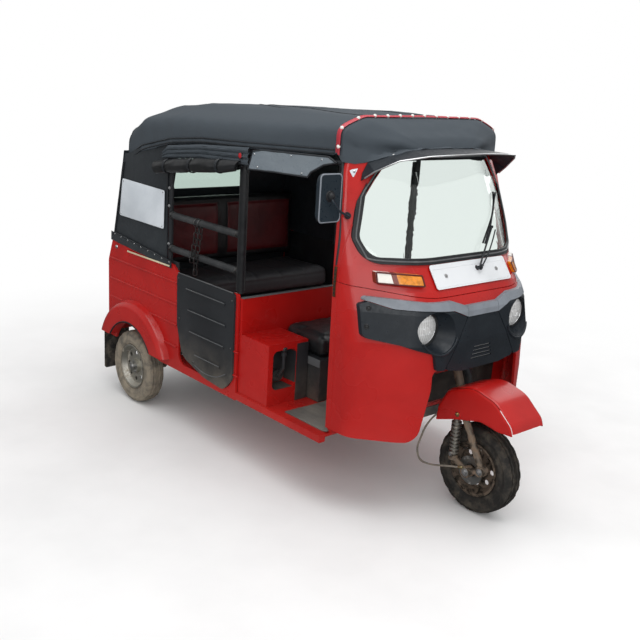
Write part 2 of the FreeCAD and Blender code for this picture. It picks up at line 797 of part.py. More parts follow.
def make_rear_body():
    """Side panels, flares, tail panel, hatch, lamps, bumper and mud flaps."""
    save("side_panel_right", side_panel())
    save("side_panel_left", mirrored(side_panel()))
    save("rear_fenders", both(rear_fender()))
    side_line = [
        (-body_half + 1, rear_face_y, ground_clear + 10),
        (-body_half + 1, rear_face_y, tail_bend),
        (-body_half + 1, rear_face_y - tail_lean, side_top_rear),
        (-body_half + 1, rear_face_y - tail_lean + wall, side_top_rear),
        (-body_half + 1, rear_face_y + wall, tail_bend),
        (-body_half + 1, rear_face_y + wall, ground_clear + 10),
    ]
    tail = slab(side_line, [0, 70, 0, 0, 70, 0], (2 * body_half - 2, 0, 0))
    corners = slab(
        [
            (-body_half + 1, 1100, ground_clear + 10),
            (body_half - 1, 1100, ground_clear + 10),
            (body_half - 1, 1100, side_top_rear + 1),
            (-body_half + 1, 1100, side_top_rear + 1),
        ],
        [60, 60, 0, 0],
        (0, 300, 0),
    )
    tail = tail.common(corners)
    hatch_points = [
        (-hatch_half, rear_face_y, hatch_low),
        (hatch_half, rear_face_y, hatch_low),
        (hatch_half, rear_face_y, hatch_high),
        (-hatch_half, rear_face_y, hatch_high),
    ]
    hole = slab(
        [(x * (1 + hatch_gap / hatch_half), y - 5, z + (hatch_gap if z > hatch_low else -hatch_gap))
         for x, y, z in hatch_points],
        30.0 + hatch_gap,
        (0, wall + 10, 0),
    )
    tail = tail.cut(hole)
    hinge_z = hatch_high + hatch_gap + hinge_radius + 2
    hinge_y = rear_face_y + wall + hinge_radius
    fixed = []
    moving = []
    for s in (-1, 1):
        x = s * (hatch_half - 90)
        leaf = box(x - 14, x + 14, rear_face_y + wall, hinge_y, hinge_z - 4, hinge_z + 26)
        eye = rod((x - 14, hinge_y, hinge_z), (x + 14, hinge_y, hinge_z), hinge_radius)
        fixed += [leaf.fuse(eye)]
        for t in (-1, 1):
            a = x + t * 14.6
            b = x + t * 30
            x0 = min(a, b)
            x1 = max(a, b)
            face = rear_face_y + wall
            moving.append(rod((a, hinge_y, hinge_z), (b, hinge_y, hinge_z), hinge_radius))
            moving.append(box(x0, x1, face + 1, hinge_y, hinge_z - 26, hinge_z))
            moving.append(box(x0, x1, face - 2, face + 2, hinge_z - 26, hatch_high - 2))
    bracket = box(-130, 130, rear_face_y + wall - 1, rear_face_y + wall + 6, 340, 380)
    tail = fuse([tail, bracket] + fixed)
    for s in (-1, 1):
        x = s * plate_hole_spacing / 2
        tail = tail.cut(rod((x, rear_face_y - 5, plate_hole_z), (x, rear_face_y + 30, plate_hole_z),
                            plate_hole_radius))
    save("rear_panel", tail)
    hatch = slab(hatch_points, 30.0, (0, wall, 0))
    for z in (470, 515, 560, 605, 650):
        slot = slab(
            [
                (-180, rear_face_y - 5, z),
                (180, rear_face_y - 5, z),
                (180, rear_face_y - 5, z + 16),
                (-180, rear_face_y - 5, z + 16),
            ],
            7.0,
            (0, wall + 10, 0),
        )
        hatch = hatch.cut(slot)
    latch = rod((0, rear_face_y + 2, hatch_low + 40), (0, rear_face_y + wall + 16, hatch_low + 40), 14)
    save("engine_hatch", fuse([hatch, latch] + moving))
    lamps = []
    for z in (604, 516):
        lamp = slab(
            [
                (60 - body_half, rear_face_y + wall + seat_gap, z),
                (150 - body_half, rear_face_y + wall + seat_gap, z),
                (150 - body_half, rear_face_y + wall + seat_gap, z + 78),
                (60 - body_half, rear_face_y + wall + seat_gap, z + 78),
            ],
            18.0,
            (0, 26, 0),
        )
        lamps += both(lamp)
    save("tail_lamps", lamps)
    bumper_z = 395.0
    bar_y = rear_face_y + wall + 24
    bumper = pipe(
        [
            (80 - body_half, rear_face_y + wall + 2, bumper_z),
            (100 - body_half, bar_y, bumper_z),
            (body_half - 100, bar_y, bumper_z),
            (body_half - 80, rear_face_y + wall + 2, bumper_z),
        ],
        10.0,
        11.0,
    )
    wall_cut = box(-body_half, body_half, 1100, rear_face_y + wall + seat_gap, 300, 500)
    save("rear_bumper", bumper.cut(wall_cut))
    flap = slab(
        [
            (-wheel_face_x, rear_face_y - 6, 108),
            (130 - body_half, rear_face_y + 5, 108),
            (130 - body_half, rear_face_y + 5, ground_clear + 10 - seat_gap),
            (-wheel_face_x, rear_face_y - 6, ground_clear + 10 - seat_gap),
        ],
        [16, 16, 0, 0],
        (0, 5, 0),
    )
    save("mud_flaps", both(flap))


def make_door_panel():
    """Bolted half door on the right: black skin with four pressed ribs."""
    x = -body_half - seat_gap
    outline = [
        (door_front_y, door_top, 24),
        (door_rear_y, door_top, 24),
        (door_rear_y - 6, 560, 40),
        (door_rear_y - 60, door_bottom + 60, 90),
        (250, door_bottom, 120),
        (80, door_bottom - 12, 60),
        (door_front_y, door_bottom + 60, 60),
    ]
    pts = [(x, y, z) for y, z, r in outline]
    skin_plate = slab(pts, [r for y, z, r in outline], (-door_skin, 0, 0))
    # columns: front end (y), rear end (y), height
    ribs = [(80, 422, 770), (70, 402, 662), (78, 384, 552), (108, 332, 440)]
    for y0, y1, z in ribs:
        rib = slab(
            [
                (x - door_skin + 1, y0, z - rib_half),
                (x - door_skin + 1, y1, z - rib_half),
                (x - door_skin + 1, y1, z + rib_half),
                (x - door_skin + 1, y0, z + rib_half),
            ],
            rib_half - 0.5,
            (-rib_depth, 0, 0),
        )
        skin_plate = skin_plate.fuse(rib)
    save("side_door_panel", skin_plate)


def make_interior():
    """Bulkhead with the lever box, seats, dashboard and the engine under the bench."""
    bulk = box(-body_half + wall + seat_gap, body_half - wall - seat_gap, post_b_y - 30,
               post_b_y - 14, floor_top, bulkhead_top)
    lever_x = 110 - body_half
    niche = box(-body_half + wall + seat_gap, lever_x + 140, -245, post_b_y - 30, floor_top, 645)
    recess = slab(
        [
            (lever_x - 70, -246, 420),
            (lever_x + 70, -246, 420),
            (lever_x + 70, -246, 612),
            (lever_x - 70, -246, 612),
        ],
        28.0,
        (0, 90, 0),
    )
    save("bulkhead", fuse([bulk, niche.cut(recess)]))
    lever = pipe(
        [(lever_x, -156 - seat_gap, 470), (lever_x, -200, 470), (lever_x, -236, 520), (lever_x, -236, 590)],
        18.0,
        8.0,
    )
    boss = rod((lever_x, -156 - seat_gap, 470), (lever_x, -190, 470), 26.0)
    knob = rod((lever_x, -236, 580), (lever_x, -236, 604), 13.0)
    save("start_lever", fuse([lever, boss, knob]))
    seat_box = slab(
        [
            (-230, -300, floor_top + seat_gap),
            (-230, -40, floor_top + seat_gap),
            (-230, -40, 560),
            (-230, -330, 560),
        ],
        [0, 0, 0, 20],
        (460, 0, 0),
    )
    save("driver_seat_box", seat_box)
    cushion = slab(
        [
            (-300, -345, 560 + seat_gap),
            (-300, -35, 560 + seat_gap),
            (-300, -35, 690),
            (-300, -345, 680),
        ],
        [20, 20, 40, 50],
        (600, 0, 0),
    )
    save("driver_cushion", cushion)
    bench = fuse(
        [
            box(-body_half + wall + seat_gap, body_half - wall - seat_gap, 640, 655,
                floor_top + seat_gap, 600),
            box(-body_half + wall + seat_gap, body_half - wall - seat_gap, 640, 1130, 600, 615),
            box(-body_half + wall + seat_gap, body_half - wall - seat_gap, 1118, 1130, 615, 880),
        ]
    )
    save("passenger_bench", bench)
    seat_half = body_half - 40
    seat = slab(
        [
            (-seat_half, 600, 615 + seat_gap),
            (-seat_half, 1050, 615 + seat_gap),
            (-seat_half, 1050, 735),
            (-seat_half, 600, 750),
        ],
        [30, 20, 30, 55],
        (2 * seat_half, 0, 0),
    )
    back = slab(
        [
            (-seat_half, 970, 740),
            (-seat_half, 1052, 735),
            (-seat_half, 1114, 880),
            (-seat_half, 1060, 1170),
            (-seat_half, 985, 1170),
        ],
        [20, 10, 10, 40, 36],
        (2 * seat_half, 0, 0),
    )
    save("passenger_cushions", [seat, back.cut(seat)])
    inner = cowl_solid(860.0, 1075.0, cowl_wall + seat_gap, cowl_rear_y + 2)
    dash = inner.common(
        slab(
            [
                (-body_half, -862, 900),
                (-body_half, -850, 1058),
                (-body_half, -980, 1072),
                (-body_half, -980, 880),
            ],
            [30, 40, 0, 0],
            (2 * body_half, 0, 0),
        )
    )
    dash = dash.cut(cowl_shell(cowl_bottom, screen_top, cowl_wall))
    for x in (-lamp_x, lamp_x):
        room = rod((x, -1000, lamp_z), (x, -800, lamp_z), bucket_open + 20)
        dash = dash.cut(room)
    save("dashboard", dash)
    engine = slab(
        [
            (-engine_half, 760, 200),
            (-engine_half, 1110, 200),
            (-engine_half, 1110, 560),
            (-engine_half, 820, 560),
            (-engine_half, 760, 470),
        ],
        [30, 30, 20, 20, 20],
        (2 * engine_half, 0, 0),
    )
    save("engine_block", engine)
    pot = slab(
        [(180, 1150, 206), (180, 1232, 206), (180, 1232, 278), (180, 1150, 278)],
        30.0,
        (-380, 0, 0),
    )
    outlet = pipe([(150, 1190, 236), (215, 1190, 226), (250, 1222, 205), (250, 1262, 200)], 16.0, 14.0)
    header = pipe([(-150, 1170, 240), (-150, 1118, 216), (-150, 1060, 185), (-150, 1020, 183)], 20.0, 14.0)
    save("muffler", fuse([pot, outlet, header.cut(engine)]))


# Hood: cross sections from front to rear
# columns: y, how far it stands wider than the body, eave height, shoulder height, crown height,
# share of the half width that is flat
hood_rows = [
    (hood_front_y, -362.0, 1592.0, 1600.0, 1609.0, 0.8),
    (-655.0, -310.0, 1586.0, 1606.0, 1630.0, 0.8),
    (-600.0, -186.0, 1564.0, 1612.0, 1668.0, 0.76),
    (-565.0, -108.0, 1536.0, 1638.0, 1690.0, 0.75),
    (-535.0, -104.0, 1545.0, 1650.0, 1705.0, 0.74),
    (-60.0, 6.0, 1526.0, 1624.0, 1706.0, 0.64),
    (600.0, 6.0, 1484.0, 1602.0, 1688.0, 0.6),
    (900.0, -4.0, 1428.0, 1574.0, 1660.0, 0.62),
    (hood_rear_y, -26.0, 1378.0, 1490.0, 1588.0, 0.62),
]
hood_sections = [(row[0], body_half + row[1]) + row[2:] for row in hood_rows]


def hood_wire(row, inset, drop):
    """One arch of the hood as a closed wire; drop lengthens it below the eave."""
    y, half, eave, shoulder, crown, flat_share = row
    w = half - inset
    c = crown - inset
    s = shoulder - inset * 0.4
    low = eave - drop
    flat = w * flat_share
    pts = [
        (-w, y, low),
        (-w + 4, y, s),
        (-flat, y, c),
        (flat, y, c),
        (w - 4, y, s),
        (w, y, low),
    ]
    rise = (c - s) * 0.9
    return path(pts, [0, rise, rise * 2.2, rise * 2.2, rise, 0], True)


def hood_solid(inset, drop, rows):
    return Part.makeLoft([hood_wire(row, inset, drop) for row in rows], True, True)


def hood_row(y):
    for low, high in zip(hood_sections, hood_sections[1:]):
        if low[0] <= y <= high[0]:
            t = (y - low[0]) / (high[0] - low[0])
            return [a + (b - a) * t for a, b in zip(low, high)]
    return list(hood_sections[-1])


def peak_x(y):
    """X of the front side flap, which runs in towards the screen pillar."""
    return -body_half - 6.3 - 0.232 * (y + 60.0)


def make_hood():
    """Roof skin, rear curtain with quarters, window, side curtains."""
    outer = hood_solid(0.0, 0.0, hood_sections)
    rows = [list(row) for row in hood_sections]
    rows[0] = hood_row(hood_front_y + skin)
    rows[-1] = hood_row(hood_rear_y - skin)
    inner = hood_solid(skin, 5.0, rows)
    roof = outer.cut(inner)
    cab = cowl_solid(1400.0, screen_top, -seat_gap, cowl_rear_y)
    save("canopy_roof", roof.cut(cab))
    rear = slab(
        [
            (0, rear_face_y - tail_lean + wall, side_top_rear + seat_gap),
            (0, rear_face_y - tail_lean + wall - skin, side_top_rear + seat_gap),
            (0, hood_rear_y - skin, 1420),
            (0, hood_rear_y, 1420),
        ],
        0,
        (body_half - 10, 0, 0),
    )
    rear = fuse([rear, mirrored(rear)])
    window = slab(
        [(-250, 900, 1165), (250, 900, 1165), (250, 900, 1360), (-250, 900, 1360)],
        30.0,
        (0, 400, 0),
    )
    window_fit = slab(
        [(-250 + seat_gap, 900, 1165 + seat_gap), (250 - seat_gap, 900, 1165 + seat_gap),
         (250 - seat_gap, 900, 1360 - seat_gap), (-250 + seat_gap, 900, 1360 - seat_gap)],
        30.0 - seat_gap,
        (0, 400, 0),
    )
    quarter = slab(
        [
            (8 - body_half, post_c_y + 14, side_top_front + 10),
            (8 - body_half, rear_face_y - 56, side_top_rear + seat_gap),
            (8 - body_half, hood_rear_y, 1400),
            (8 - body_half, post_c_y + 14, 1500),
        ],
        0,
        (skin - 1, 0, 0),
    )
    under = hood_solid(-seat_gap, 0.0, hood_sections)
    rear_cut = rear.cut(window).cut(under)
    quarter = quarter.cut(under)
    save("canopy_sides", fuse([rear_cut] + both(quarter)))
    save("rear_window", rear.common(window_fit))
    valance_x = -body_half - 18.3
    roll_x = valance_x - 6.7
    valance = slab(
        [(valance_x, 20, 1420), (valance_x, 640, 1382), (valance_x, 640, 1500), (valance_x, 20, 1540)],
        16.0,
        (12, 0, 0),
    )
    roll = pipe([(roll_x, 660, 1372), (roll_x, 330, 1392), (roll_x, 0, 1405)], 500.0, 24.0)
    roll = roll.cut(valance)
    peak = slab(
        [
            (peak_x(y), y, z)
            for y, z in (
                (-72, 1430), (-72, 1534), (-520, 1546), (-470, 1500), (-410, 1440)
            )
        ],
        [10, 10, 10, 40, 14],
        (-4, 0, 0),
    )
    save("side_curtains", [valance, roll, peak])


def make_roof_frame():
    """Posts with side rails, and the three bows that carry the hood."""
    pieces = []
    bows = []
    r = bow_radius
    x = body_half - 20
    for y, low in ((post_b_y, door_top + seat_gap), (post_c_y, side_top_front + 6 + seat_gap)):
        row = hood_row(y)
        top = row[2] - 16
        for s in (-1, 1):
            pieces.append(rod((s * x, y, low), (s * x, y, top), r))
        crown = row[4] - skin - r - 3
        bows.append(
            pipe(
                [
                    (-x, y, top + seat_gap),
                    (-x, y, row[3] - 50),
                    (-x * 0.58, y, crown),
                    (x * 0.58, y, crown),
                    (x, y, row[3] - 50),
                    (x, y, top + seat_gap),
                ],
                70.0,
                r,
            )
        )
    row = hood_row(980.0)
    foot = x - 32
    bows.append(
        pipe(
            [
                (-foot, 1010, 1400),
                (8 - foot, 980, row[3] - 40),
                (218 - foot, 960, row[4] - 50),
                (foot - 218, 960, row[4] - 50),
                (foot - 8, 980, row[3] - 40),
                (foot, 1010, 1400),
            ],
            60.0,
            r,
        )
    )
    rail = r - 2
    inside = x - r - rail - seat_gap
    front_z = 1518.0
    front_x = cowl_at(front_z)[1] - cowl_wall / 2 - 2
    for s in (-1, 1):
        line = [
            (s * front_x, cowl_rear(front_z) + 2 * seat_gap + 0.8, front_z),
            (s * inside, post_b_y, hood_row(post_b_y)[2] - 40),
            (s * inside, post_c_y, hood_row(post_c_y)[2] - 40),
            (s * (foot - r - rail + 0.4), 1004, 1402),
        ]
        pieces.append(pipe(line, 60.0, rail))
    save("roof_frame", pieces)
    save("roof_bows", bows)


def make_side_bars():
    """Two ribbed sleeves on the right entry, with clamps at the posts."""
    x = bar_x
    gap = bow_radius + seat_gap
    bars = []
    for z in (bar_upper_z, bar_lower_z):
        bar = rod((x, post_b_y + gap, z), (x, post_c_y - gap, z), sleeve_radius)
        bars.append(bar)
    save("side_bars", bars)


def chain_link(center, turned):
    """One flat oval link, standing along Z, turned a quarter round every other time."""
    half = link_length / 2
    width = link_width / 2
    wire = link_wire
    outer = slab(
        [(-width, 0, -half), (width, 0, -half), (width, 0, half), (-width, 0, half)],
        width - 1,
        (0, wire, 0),
    )
    inner = slab(
        [
            (-width + wire, 0, -half + wire),
            (width - wire, 0, -half + wire),
            (width - wire, 0, half - wire),
            (-width + wire, 0, half - wire),
        ],
        link_corner,
        (0, wire, 0),
    )
    link = outer.cut(inner)
    link.translate(vec(0, -wire / 2, 0))
    if turned:
        link.rotate(vec(0, 0, 0), vec(0, 0, 1), 90)
    link.translate(vec(*center))
    return link


def make_chain():
    """Short chain that hangs from the upper bar in two falls."""
    pitch = link_length - 2 * link_wire - 0.5
    drop = chain_ring - ring_wire
    slack = drop - sleeve_radius - seat_gap
    ring_z = bar_upper_z - math.sqrt(slack ** 2 - (chain_x - bar_x) ** 2)
    first = ring_z - drop + seat_gap + link_wire - link_length / 2
    pieces = []
    # columns: place along the bar (y), number of links
    for y, count in ((338.0, 8), (372.0, 6)):
        pieces.append(Part.makeTorus(chain_ring, ring_wire, vec(chain_x, y, ring_z), vec(0, 1, 0)))
        for k in range(count):
            x = chain_x - chain_step * min(k, 5)
            pieces.append(chain_link((x, y, first - pitch * k), k % 2 == 0))
    save("safety_chain", pieces)


def make_suspension():
    """Trailing arms with stub axles and drums, and the rear dampers."""
    hub_face = rear_wheel_x - 20.0
    arms = []
    for s in (-1, 1):
        bush = ring_bar((s * 300, arm_pivot_y, arm_pivot_z), (s * 400, arm_pivot_y, arm_pivot_z), 30, 12)
        arm = pipe(
            [
                (s * 350, arm_pivot_y + 10, arm_pivot_z),
                (s * 400, 760, 250),
                (s * 440, rear_axle_y, wheel_radius),
            ],
            120.0,
            24.0,
        )
        carrier = rod((s * 420, rear_axle_y, wheel_radius), (s * 500, rear_axle_y, wheel_radius), 40)
        plate = rod((s * 500, rear_axle_y, wheel_radius), (s * 508, rear_axle_y, wheel_radius), 92)
        stub = rod((s * 500, rear_axle_y, wheel_radius), (s * 618, rear_axle_y, wheel_radius), axle_radius)
        seat = rod((s * 440, rear_axle_y - 60, 238), (s * 440, rear_axle_y - 60, 262), 30)
        bore = rod((s * 290, arm_pivot_y, arm_pivot_z), (s * 410, arm_pivot_y, arm_pivot_z), 12)
        arms.append(fuse([bush, arm, carrier, plate, stub, seat]).cut(bore))
    save("trailing_arms", arms)
    shocks = []
    for s in (-1, 1):
        foot = (s * 440, rear_axle_y - 60, 262 + seat_gap)
        head = (s * 440, rear_axle_y - 60, 590)
        core = rod(foot, head, 22.0)
        for k in range(9):
            z = 290 + 26 * k
            core = core.fuse(rod((s * 440, rear_axle_y - 60, z), (s * 440, rear_axle_y - 60, z + 9), 38))
        shocks.append(core)
    save("rear_shocks", shocks)


def fender_profile(shrink):
    """Front mudguard outline seen from the side, with corner radii."""
    s = shrink
    return [
        (-866 - s, 386 - 2 * s, 6),
        (-876 - s, 470, 60),
        (-925 - s * 0.5, 560 - s * 0.8, 70),
        (-1060, 612 - s, 160),
        (-1190 + s * 0.4, 580 - s * 0.9, 120),
        (-1284 + s * 0.8, 500 - s * 0.6, 60),
        (-1302 + s, 452 - 2 * s, 6),
        (-1215, 448 - 2 * s, 60),
        (-1120, 462 - 2 * s, 100),
        (-975, 424 - 2 * s, 80),
    ]


def make_steering():
    """Handlebar, fork, springs, mudguard and brake hose."""
    crown_z = 985.0
    cy = steer_y(crown_z)
    clamp = rod((-36, cy, crown_z), (36, cy, crown_z), 28.0)
    bar = pipe(
        [
            (-bar_half, cy + grip_back, crown_z + 12),
            (-grip_start, cy + grip_back - 50, crown_z + 26),
            (-88, cy, crown_z),
            (88, cy, crown_z),
            (grip_start, cy + grip_back - 50, crown_z + 26),
            (bar_half, cy + grip_back, crown_z + 12),
        ],
        40.0,
        bar_radius,
    )
    grips = []
    for s in (-1, 1):
        end = vec(s * bar_half, cy + grip_back, crown_z + 12)
        run = vec(s * grip_start, cy + grip_back - 50, crown_z + 26) - end
        grips.append(Part.makeCylinder(grip_radius, run.Length * 0.86, end, run))
    pod = slab(
        [
            (-95, cy - 52, crown_z - 44),
            (-95, cy + 44, crown_z - 44),
            (-95, cy + 60, crown_z + 34),
            (-95, cy - 40, crown_z + 48),
        ],
        [26, 26, 24, 24],
        (190, 0, 0),
    )
    upper = rod(steer_point(head_high + 6), steer_point(crown_z), stem_radius + 12)
    save("handlebar", fuse([clamp, bar, pod, upper] + grips))
    low_z = 470.0
    stem = rod(steer_point(low_z), steer_point(head_high + 6 - seat_gap), stem_radius)
    axle_z = wheel_radius
    pieces = [stem]
    pivot_y = front_axle_y - 78.0
    pivot_z = 236.0
    for s in (-1, 1):
        x = s * fork_half
        leg = pipe(
            [
                (0, steer_y(low_z), low_z + 12),
                (x, front_axle_y + 50, low_z - 6),
                (x, pivot_y, pivot_z),
            ],
            34.0,
            fork_tube,
        )
        knuckle = rod((x - 18, pivot_y, pivot_z), (x + 18, pivot_y, pivot_z), 24.0)
        link = pipe(
            [
                (x, pivot_y, pivot_z),
                (x, front_axle_y, axle_z),
                (x, front_axle_y + 86, axle_z + 36),
            ],
            60.0,
            13.0,
        )
        boss = rod((x - 16, front_axle_y, axle_z), (x + 16, front_axle_y, axle_z), 26.0)
        top = rod((x, front_axle_y + 86, axle_z + 30), (x, front_axle_y + 86, axle_z + 52), 22.0)
        pieces += [leg, knuckle, link, boss, top]
    axle = rod((-fork_half, front_axle_y, axle_z), (fork_half, front_axle_y, axle_z), axle_radius)
    bridge_y = front_axle_y + 86
    reach = fender_half - fender_wall - seat_gap
    hanger = box(-reach, reach, bridge_y - 16, bridge_y + 22, 436, 450)
    brace = box(-14, 14, bridge_y, steer_y(470) + 20, 440, 470)
    save("front_fork", fuse(pieces + [axle, hanger, brace]))
    springs = []
    for s in (-1, 1):
        x = s * fork_half
        foot = (x, bridge_y, axle_z + 52 + seat_gap)
        head = (x, bridge_y, 436 - seat_gap)
        core = rod(foot, head, damper_radius)
        pitch = (head[2] - foot[2] - 20) / spring_turns
        for k in range(spring_turns):
            z = foot[2] + 8 + pitch * k
            core = core.fuse(rod((x, bridge_y, z), (x, bridge_y, z + 2 * spring_wire), spring_radius))
        springs.append(core)
    save("front_spring", springs)
    rows = fender_profile(0.0)
    outer = slab([(-fender_half, y, z) for y, z, r in rows], [r for y, z, r in rows],
                 (2 * fender_half, 0, 0))
    rows = fender_profile(fender_wall)
    inner = slab([(-fender_half + fender_wall, y, z - 1) for y, z, r in rows],
                 [r for y, z, r in rows], (2 * fender_half - 2 * fender_wall, 0, 0))
    below = box(-fender_half + fender_wall, fender_half - fender_wall, -1400, -800, 300, 470)
    stem_hole = rod(steer_point(400.0), steer_point(700.0), stem_radius + seat_gap)
    fender = outer.makeFillet(18.0, [e for e in outer.Edges if e.BoundBox.XLength < 1
                                     and e.BoundBox.ZMax > 520 and e.BoundBox.ZMin > 440])
    fender = fender.cut(inner).cut(below).cut(stem_hole)
    save("front_fender", fender)
    wire = path(hose_points, cord_radii(hose_points), False)
    start = vec(*hose_points[0])
    circle = Part.makeCircle(hose_radius, start, vec(*hose_points[1]) - start)
    save("brake_hose", wire.makePipeShell([Part.Wire([circle])], True, True))


hose_radius = 4.5
hose_points = [
    (-90.0, -950.4, 443.0),
    (-98.0, -872.0, 428.0),
    (-124.0, -832.0, 356.0),
    (-130.0, -796.0, 232.0),
    (-130.0, -818.0, 178.0),
    (-128.0, -888.0, 182.0),
    (-120.0, -984.0, 212.0),
    (-103.5, -1050.0, 226.0),
]


def cord_radii(points):
    """The widest tangent arc that each corner of a cord's route has room for."""
    pts = [vec(*p) for p in points]
    radii = [0.0]
    for before, point, after in zip(pts, pts[1:], pts[2:]):
        u = point - before
        v = after - point
        radii.append(0.45 * min(u.Length, v.Length) / math.tan(u.getAngle(v) / 2))
    return radii + [0.0]


def wheel(node, center_x, center_y, side):
    """Tyre and rim of one wheel, revolved about its axle."""
    half = tyre_width / 2
    axis_point = vec(center_x, center_y, wheel_radius)
    bead = rim_radius + 4.0
    seat = rim_width / 2 - rim_wall - seat_gap
    tyre = path(
        [
            (center_x - seat, 0, bead),
            (center_x - seat, 0, bead + 11),
            (center_x - half, 0, bead + 26),
            (center_x - half + 2, 0, wheel_radius - 26),
            (center_x - half + 16, 0, wheel_radius),
            (center_x + half - 16, 0, wheel_radius),
            (center_x + half - 2, 0, wheel_radius - 26),
            (center_x + half, 0, bead + 26),
            (center_x + seat, 0, bead + 11),
            (center_x + seat, 0, bead),
        ],
        [0, 0, 12, 30, 14, 14, 30, 12, 0, 0],
        True,
    )
    tyre.translate(vec(0, center_y, wheel_radius))
    save(node + "_tyre", Part.Face(tyre).revolve(axis_point, vec(1, 0, 0), 360))
    rw = rim_width / 2
    web = 14.0 * side
    rim = path(
        [
            (center_x - rw, 0, rim_radius + 14),
            (center_x - rw, 0, rim_radius + 4),
            (center_x - rw + 14, 0, rim_radius - 6),
            (center_x - 12, 0, rim_radius - 16),
            (center_x + 12, 0, rim_radius - 16),
            (center_x + rw - 14, 0, rim_radius - 6),
            (center_x + rw, 0, rim_radius + 4),
            (center_x + rw, 0, rim_radius + 14),
            (center_x + rw - rim_wall, 0, rim_radius + 14),
            (center_x + rw - rim_wall, 0, rim_radius + 4 - seat_gap),
            (center_x - rw + rim_wall, 0, rim_radius + 4 - seat_gap),
            (center_x - rw + rim_wall, 0, rim_radius + 14),
        ],
        even(0, 12),
        True,
    )
    rim.translate(vec(0, center_y, wheel_radius))
    ring = Part.Face(rim).revolve(axis_point, vec(1, 0, 0), 360)
    x0 = center_x + web - 3
    disc = rod((x0, center_y, wheel_radius), (x0 + 6, center_y, wheel_radius), rim_radius - 8)
    hub = rod((center_x - 34, center_y, wheel_radius), (center_x + 34, center_y, wheel_radius), hub_radius)
    for k in range(8):
        angle = 2 * math.pi * k / 8
        hole = Part.makeCylinder(
            12.0, 60,
            vec(x0 - 27, center_y + 76 * math.cos(angle), wheel_radius + 76 * math.sin(angle)),
            vec(1, 0, 0),
        )
        disc = disc.cut(hole)
    bore = rod((center_x - 60, center_y, wheel_radius), (center_x + 60, center_y, wheel_radius),
               axle_radius + running_gap)
    save(node + "_rim", fuse([ring, disc, hub]).cut(bore))


def make_wheels():
    # columns: node, centre x, centre y, outward side
    rows = [
        ("front_wheel", 0.0, front_axle_y, 0),
        ("rear_wheel_right", -rear_wheel_x, rear_axle_y, -1),
        ("rear_wheel_left", rear_wheel_x, rear_axle_y, 1),
    ]
    for node, x, y, side in rows:
        wheel(node, x, y, side)


make_front_cowl()
make_windscreen()
make_visor()
make_headlamp_panels()
make_brow_trim()
make_headlamps()
make_front_indicators()
make_front_plate()
make_wiper()
make_mirror()
make_floor()
make_chassis()
make_rear_body()
make_door_panel()
make_interior()
make_hood()
make_roof_frame()
make_side_bars()
make_chain()
make_suspension()
make_steering()
make_wheels()
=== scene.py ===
"""Finishes and fine pieces of a three-wheeled auto rickshaw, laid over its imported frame.

Metres, +Z up, the front towards -Y and the vehicle's right side towards -X.
"""

import logging
import math
from dataclasses import dataclass, field
from enum import Enum
from typing import Callable, Iterable, Optional, Sequence

import bmesh
import bpy
from mathutils import Matrix, Vector, noise
from mathutils.bvhtree import BVHTree


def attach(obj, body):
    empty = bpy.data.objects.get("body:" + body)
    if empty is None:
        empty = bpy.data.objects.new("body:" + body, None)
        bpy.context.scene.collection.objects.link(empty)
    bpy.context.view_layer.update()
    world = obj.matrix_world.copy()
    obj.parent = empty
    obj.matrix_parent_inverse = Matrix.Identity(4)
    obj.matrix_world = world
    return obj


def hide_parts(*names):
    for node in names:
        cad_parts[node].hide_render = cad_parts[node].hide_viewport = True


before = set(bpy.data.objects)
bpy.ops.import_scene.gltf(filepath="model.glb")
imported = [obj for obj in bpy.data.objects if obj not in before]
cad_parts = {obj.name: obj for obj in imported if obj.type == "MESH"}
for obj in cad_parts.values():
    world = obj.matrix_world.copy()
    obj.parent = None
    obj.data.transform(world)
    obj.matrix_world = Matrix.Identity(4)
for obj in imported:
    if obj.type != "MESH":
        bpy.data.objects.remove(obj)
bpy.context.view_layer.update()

log = logging.getLogger("rickshaw")

Point = Sequence[float]
Colour = tuple[float, float, float]
Socket = bpy.types.NodeSocket
Layout = Callable[[float, float], Vector]

ROUND = 48
REAR_AXLE: Point = (0.584, 0.940, 0.205)
FRONT_AXLE: Point = (0.0, -1.060, 0.205)
SIDES = ((-1.0, "right"), (1.0, "left"))
SHARP = math.radians(38.0)
DUST: Colour = (0.34, 0.29, 0.225)


class Body(str, Enum):
    """The bodies that pieces ride on."""

    ROOT = "root"
    STEERING = "steering"
    FRONT_WHEEL = "front_wheel"
    RIGHT_WHEEL = "rear_wheel_right"
    LEFT_WHEEL = "rear_wheel_left"
    HATCH = "hatch"


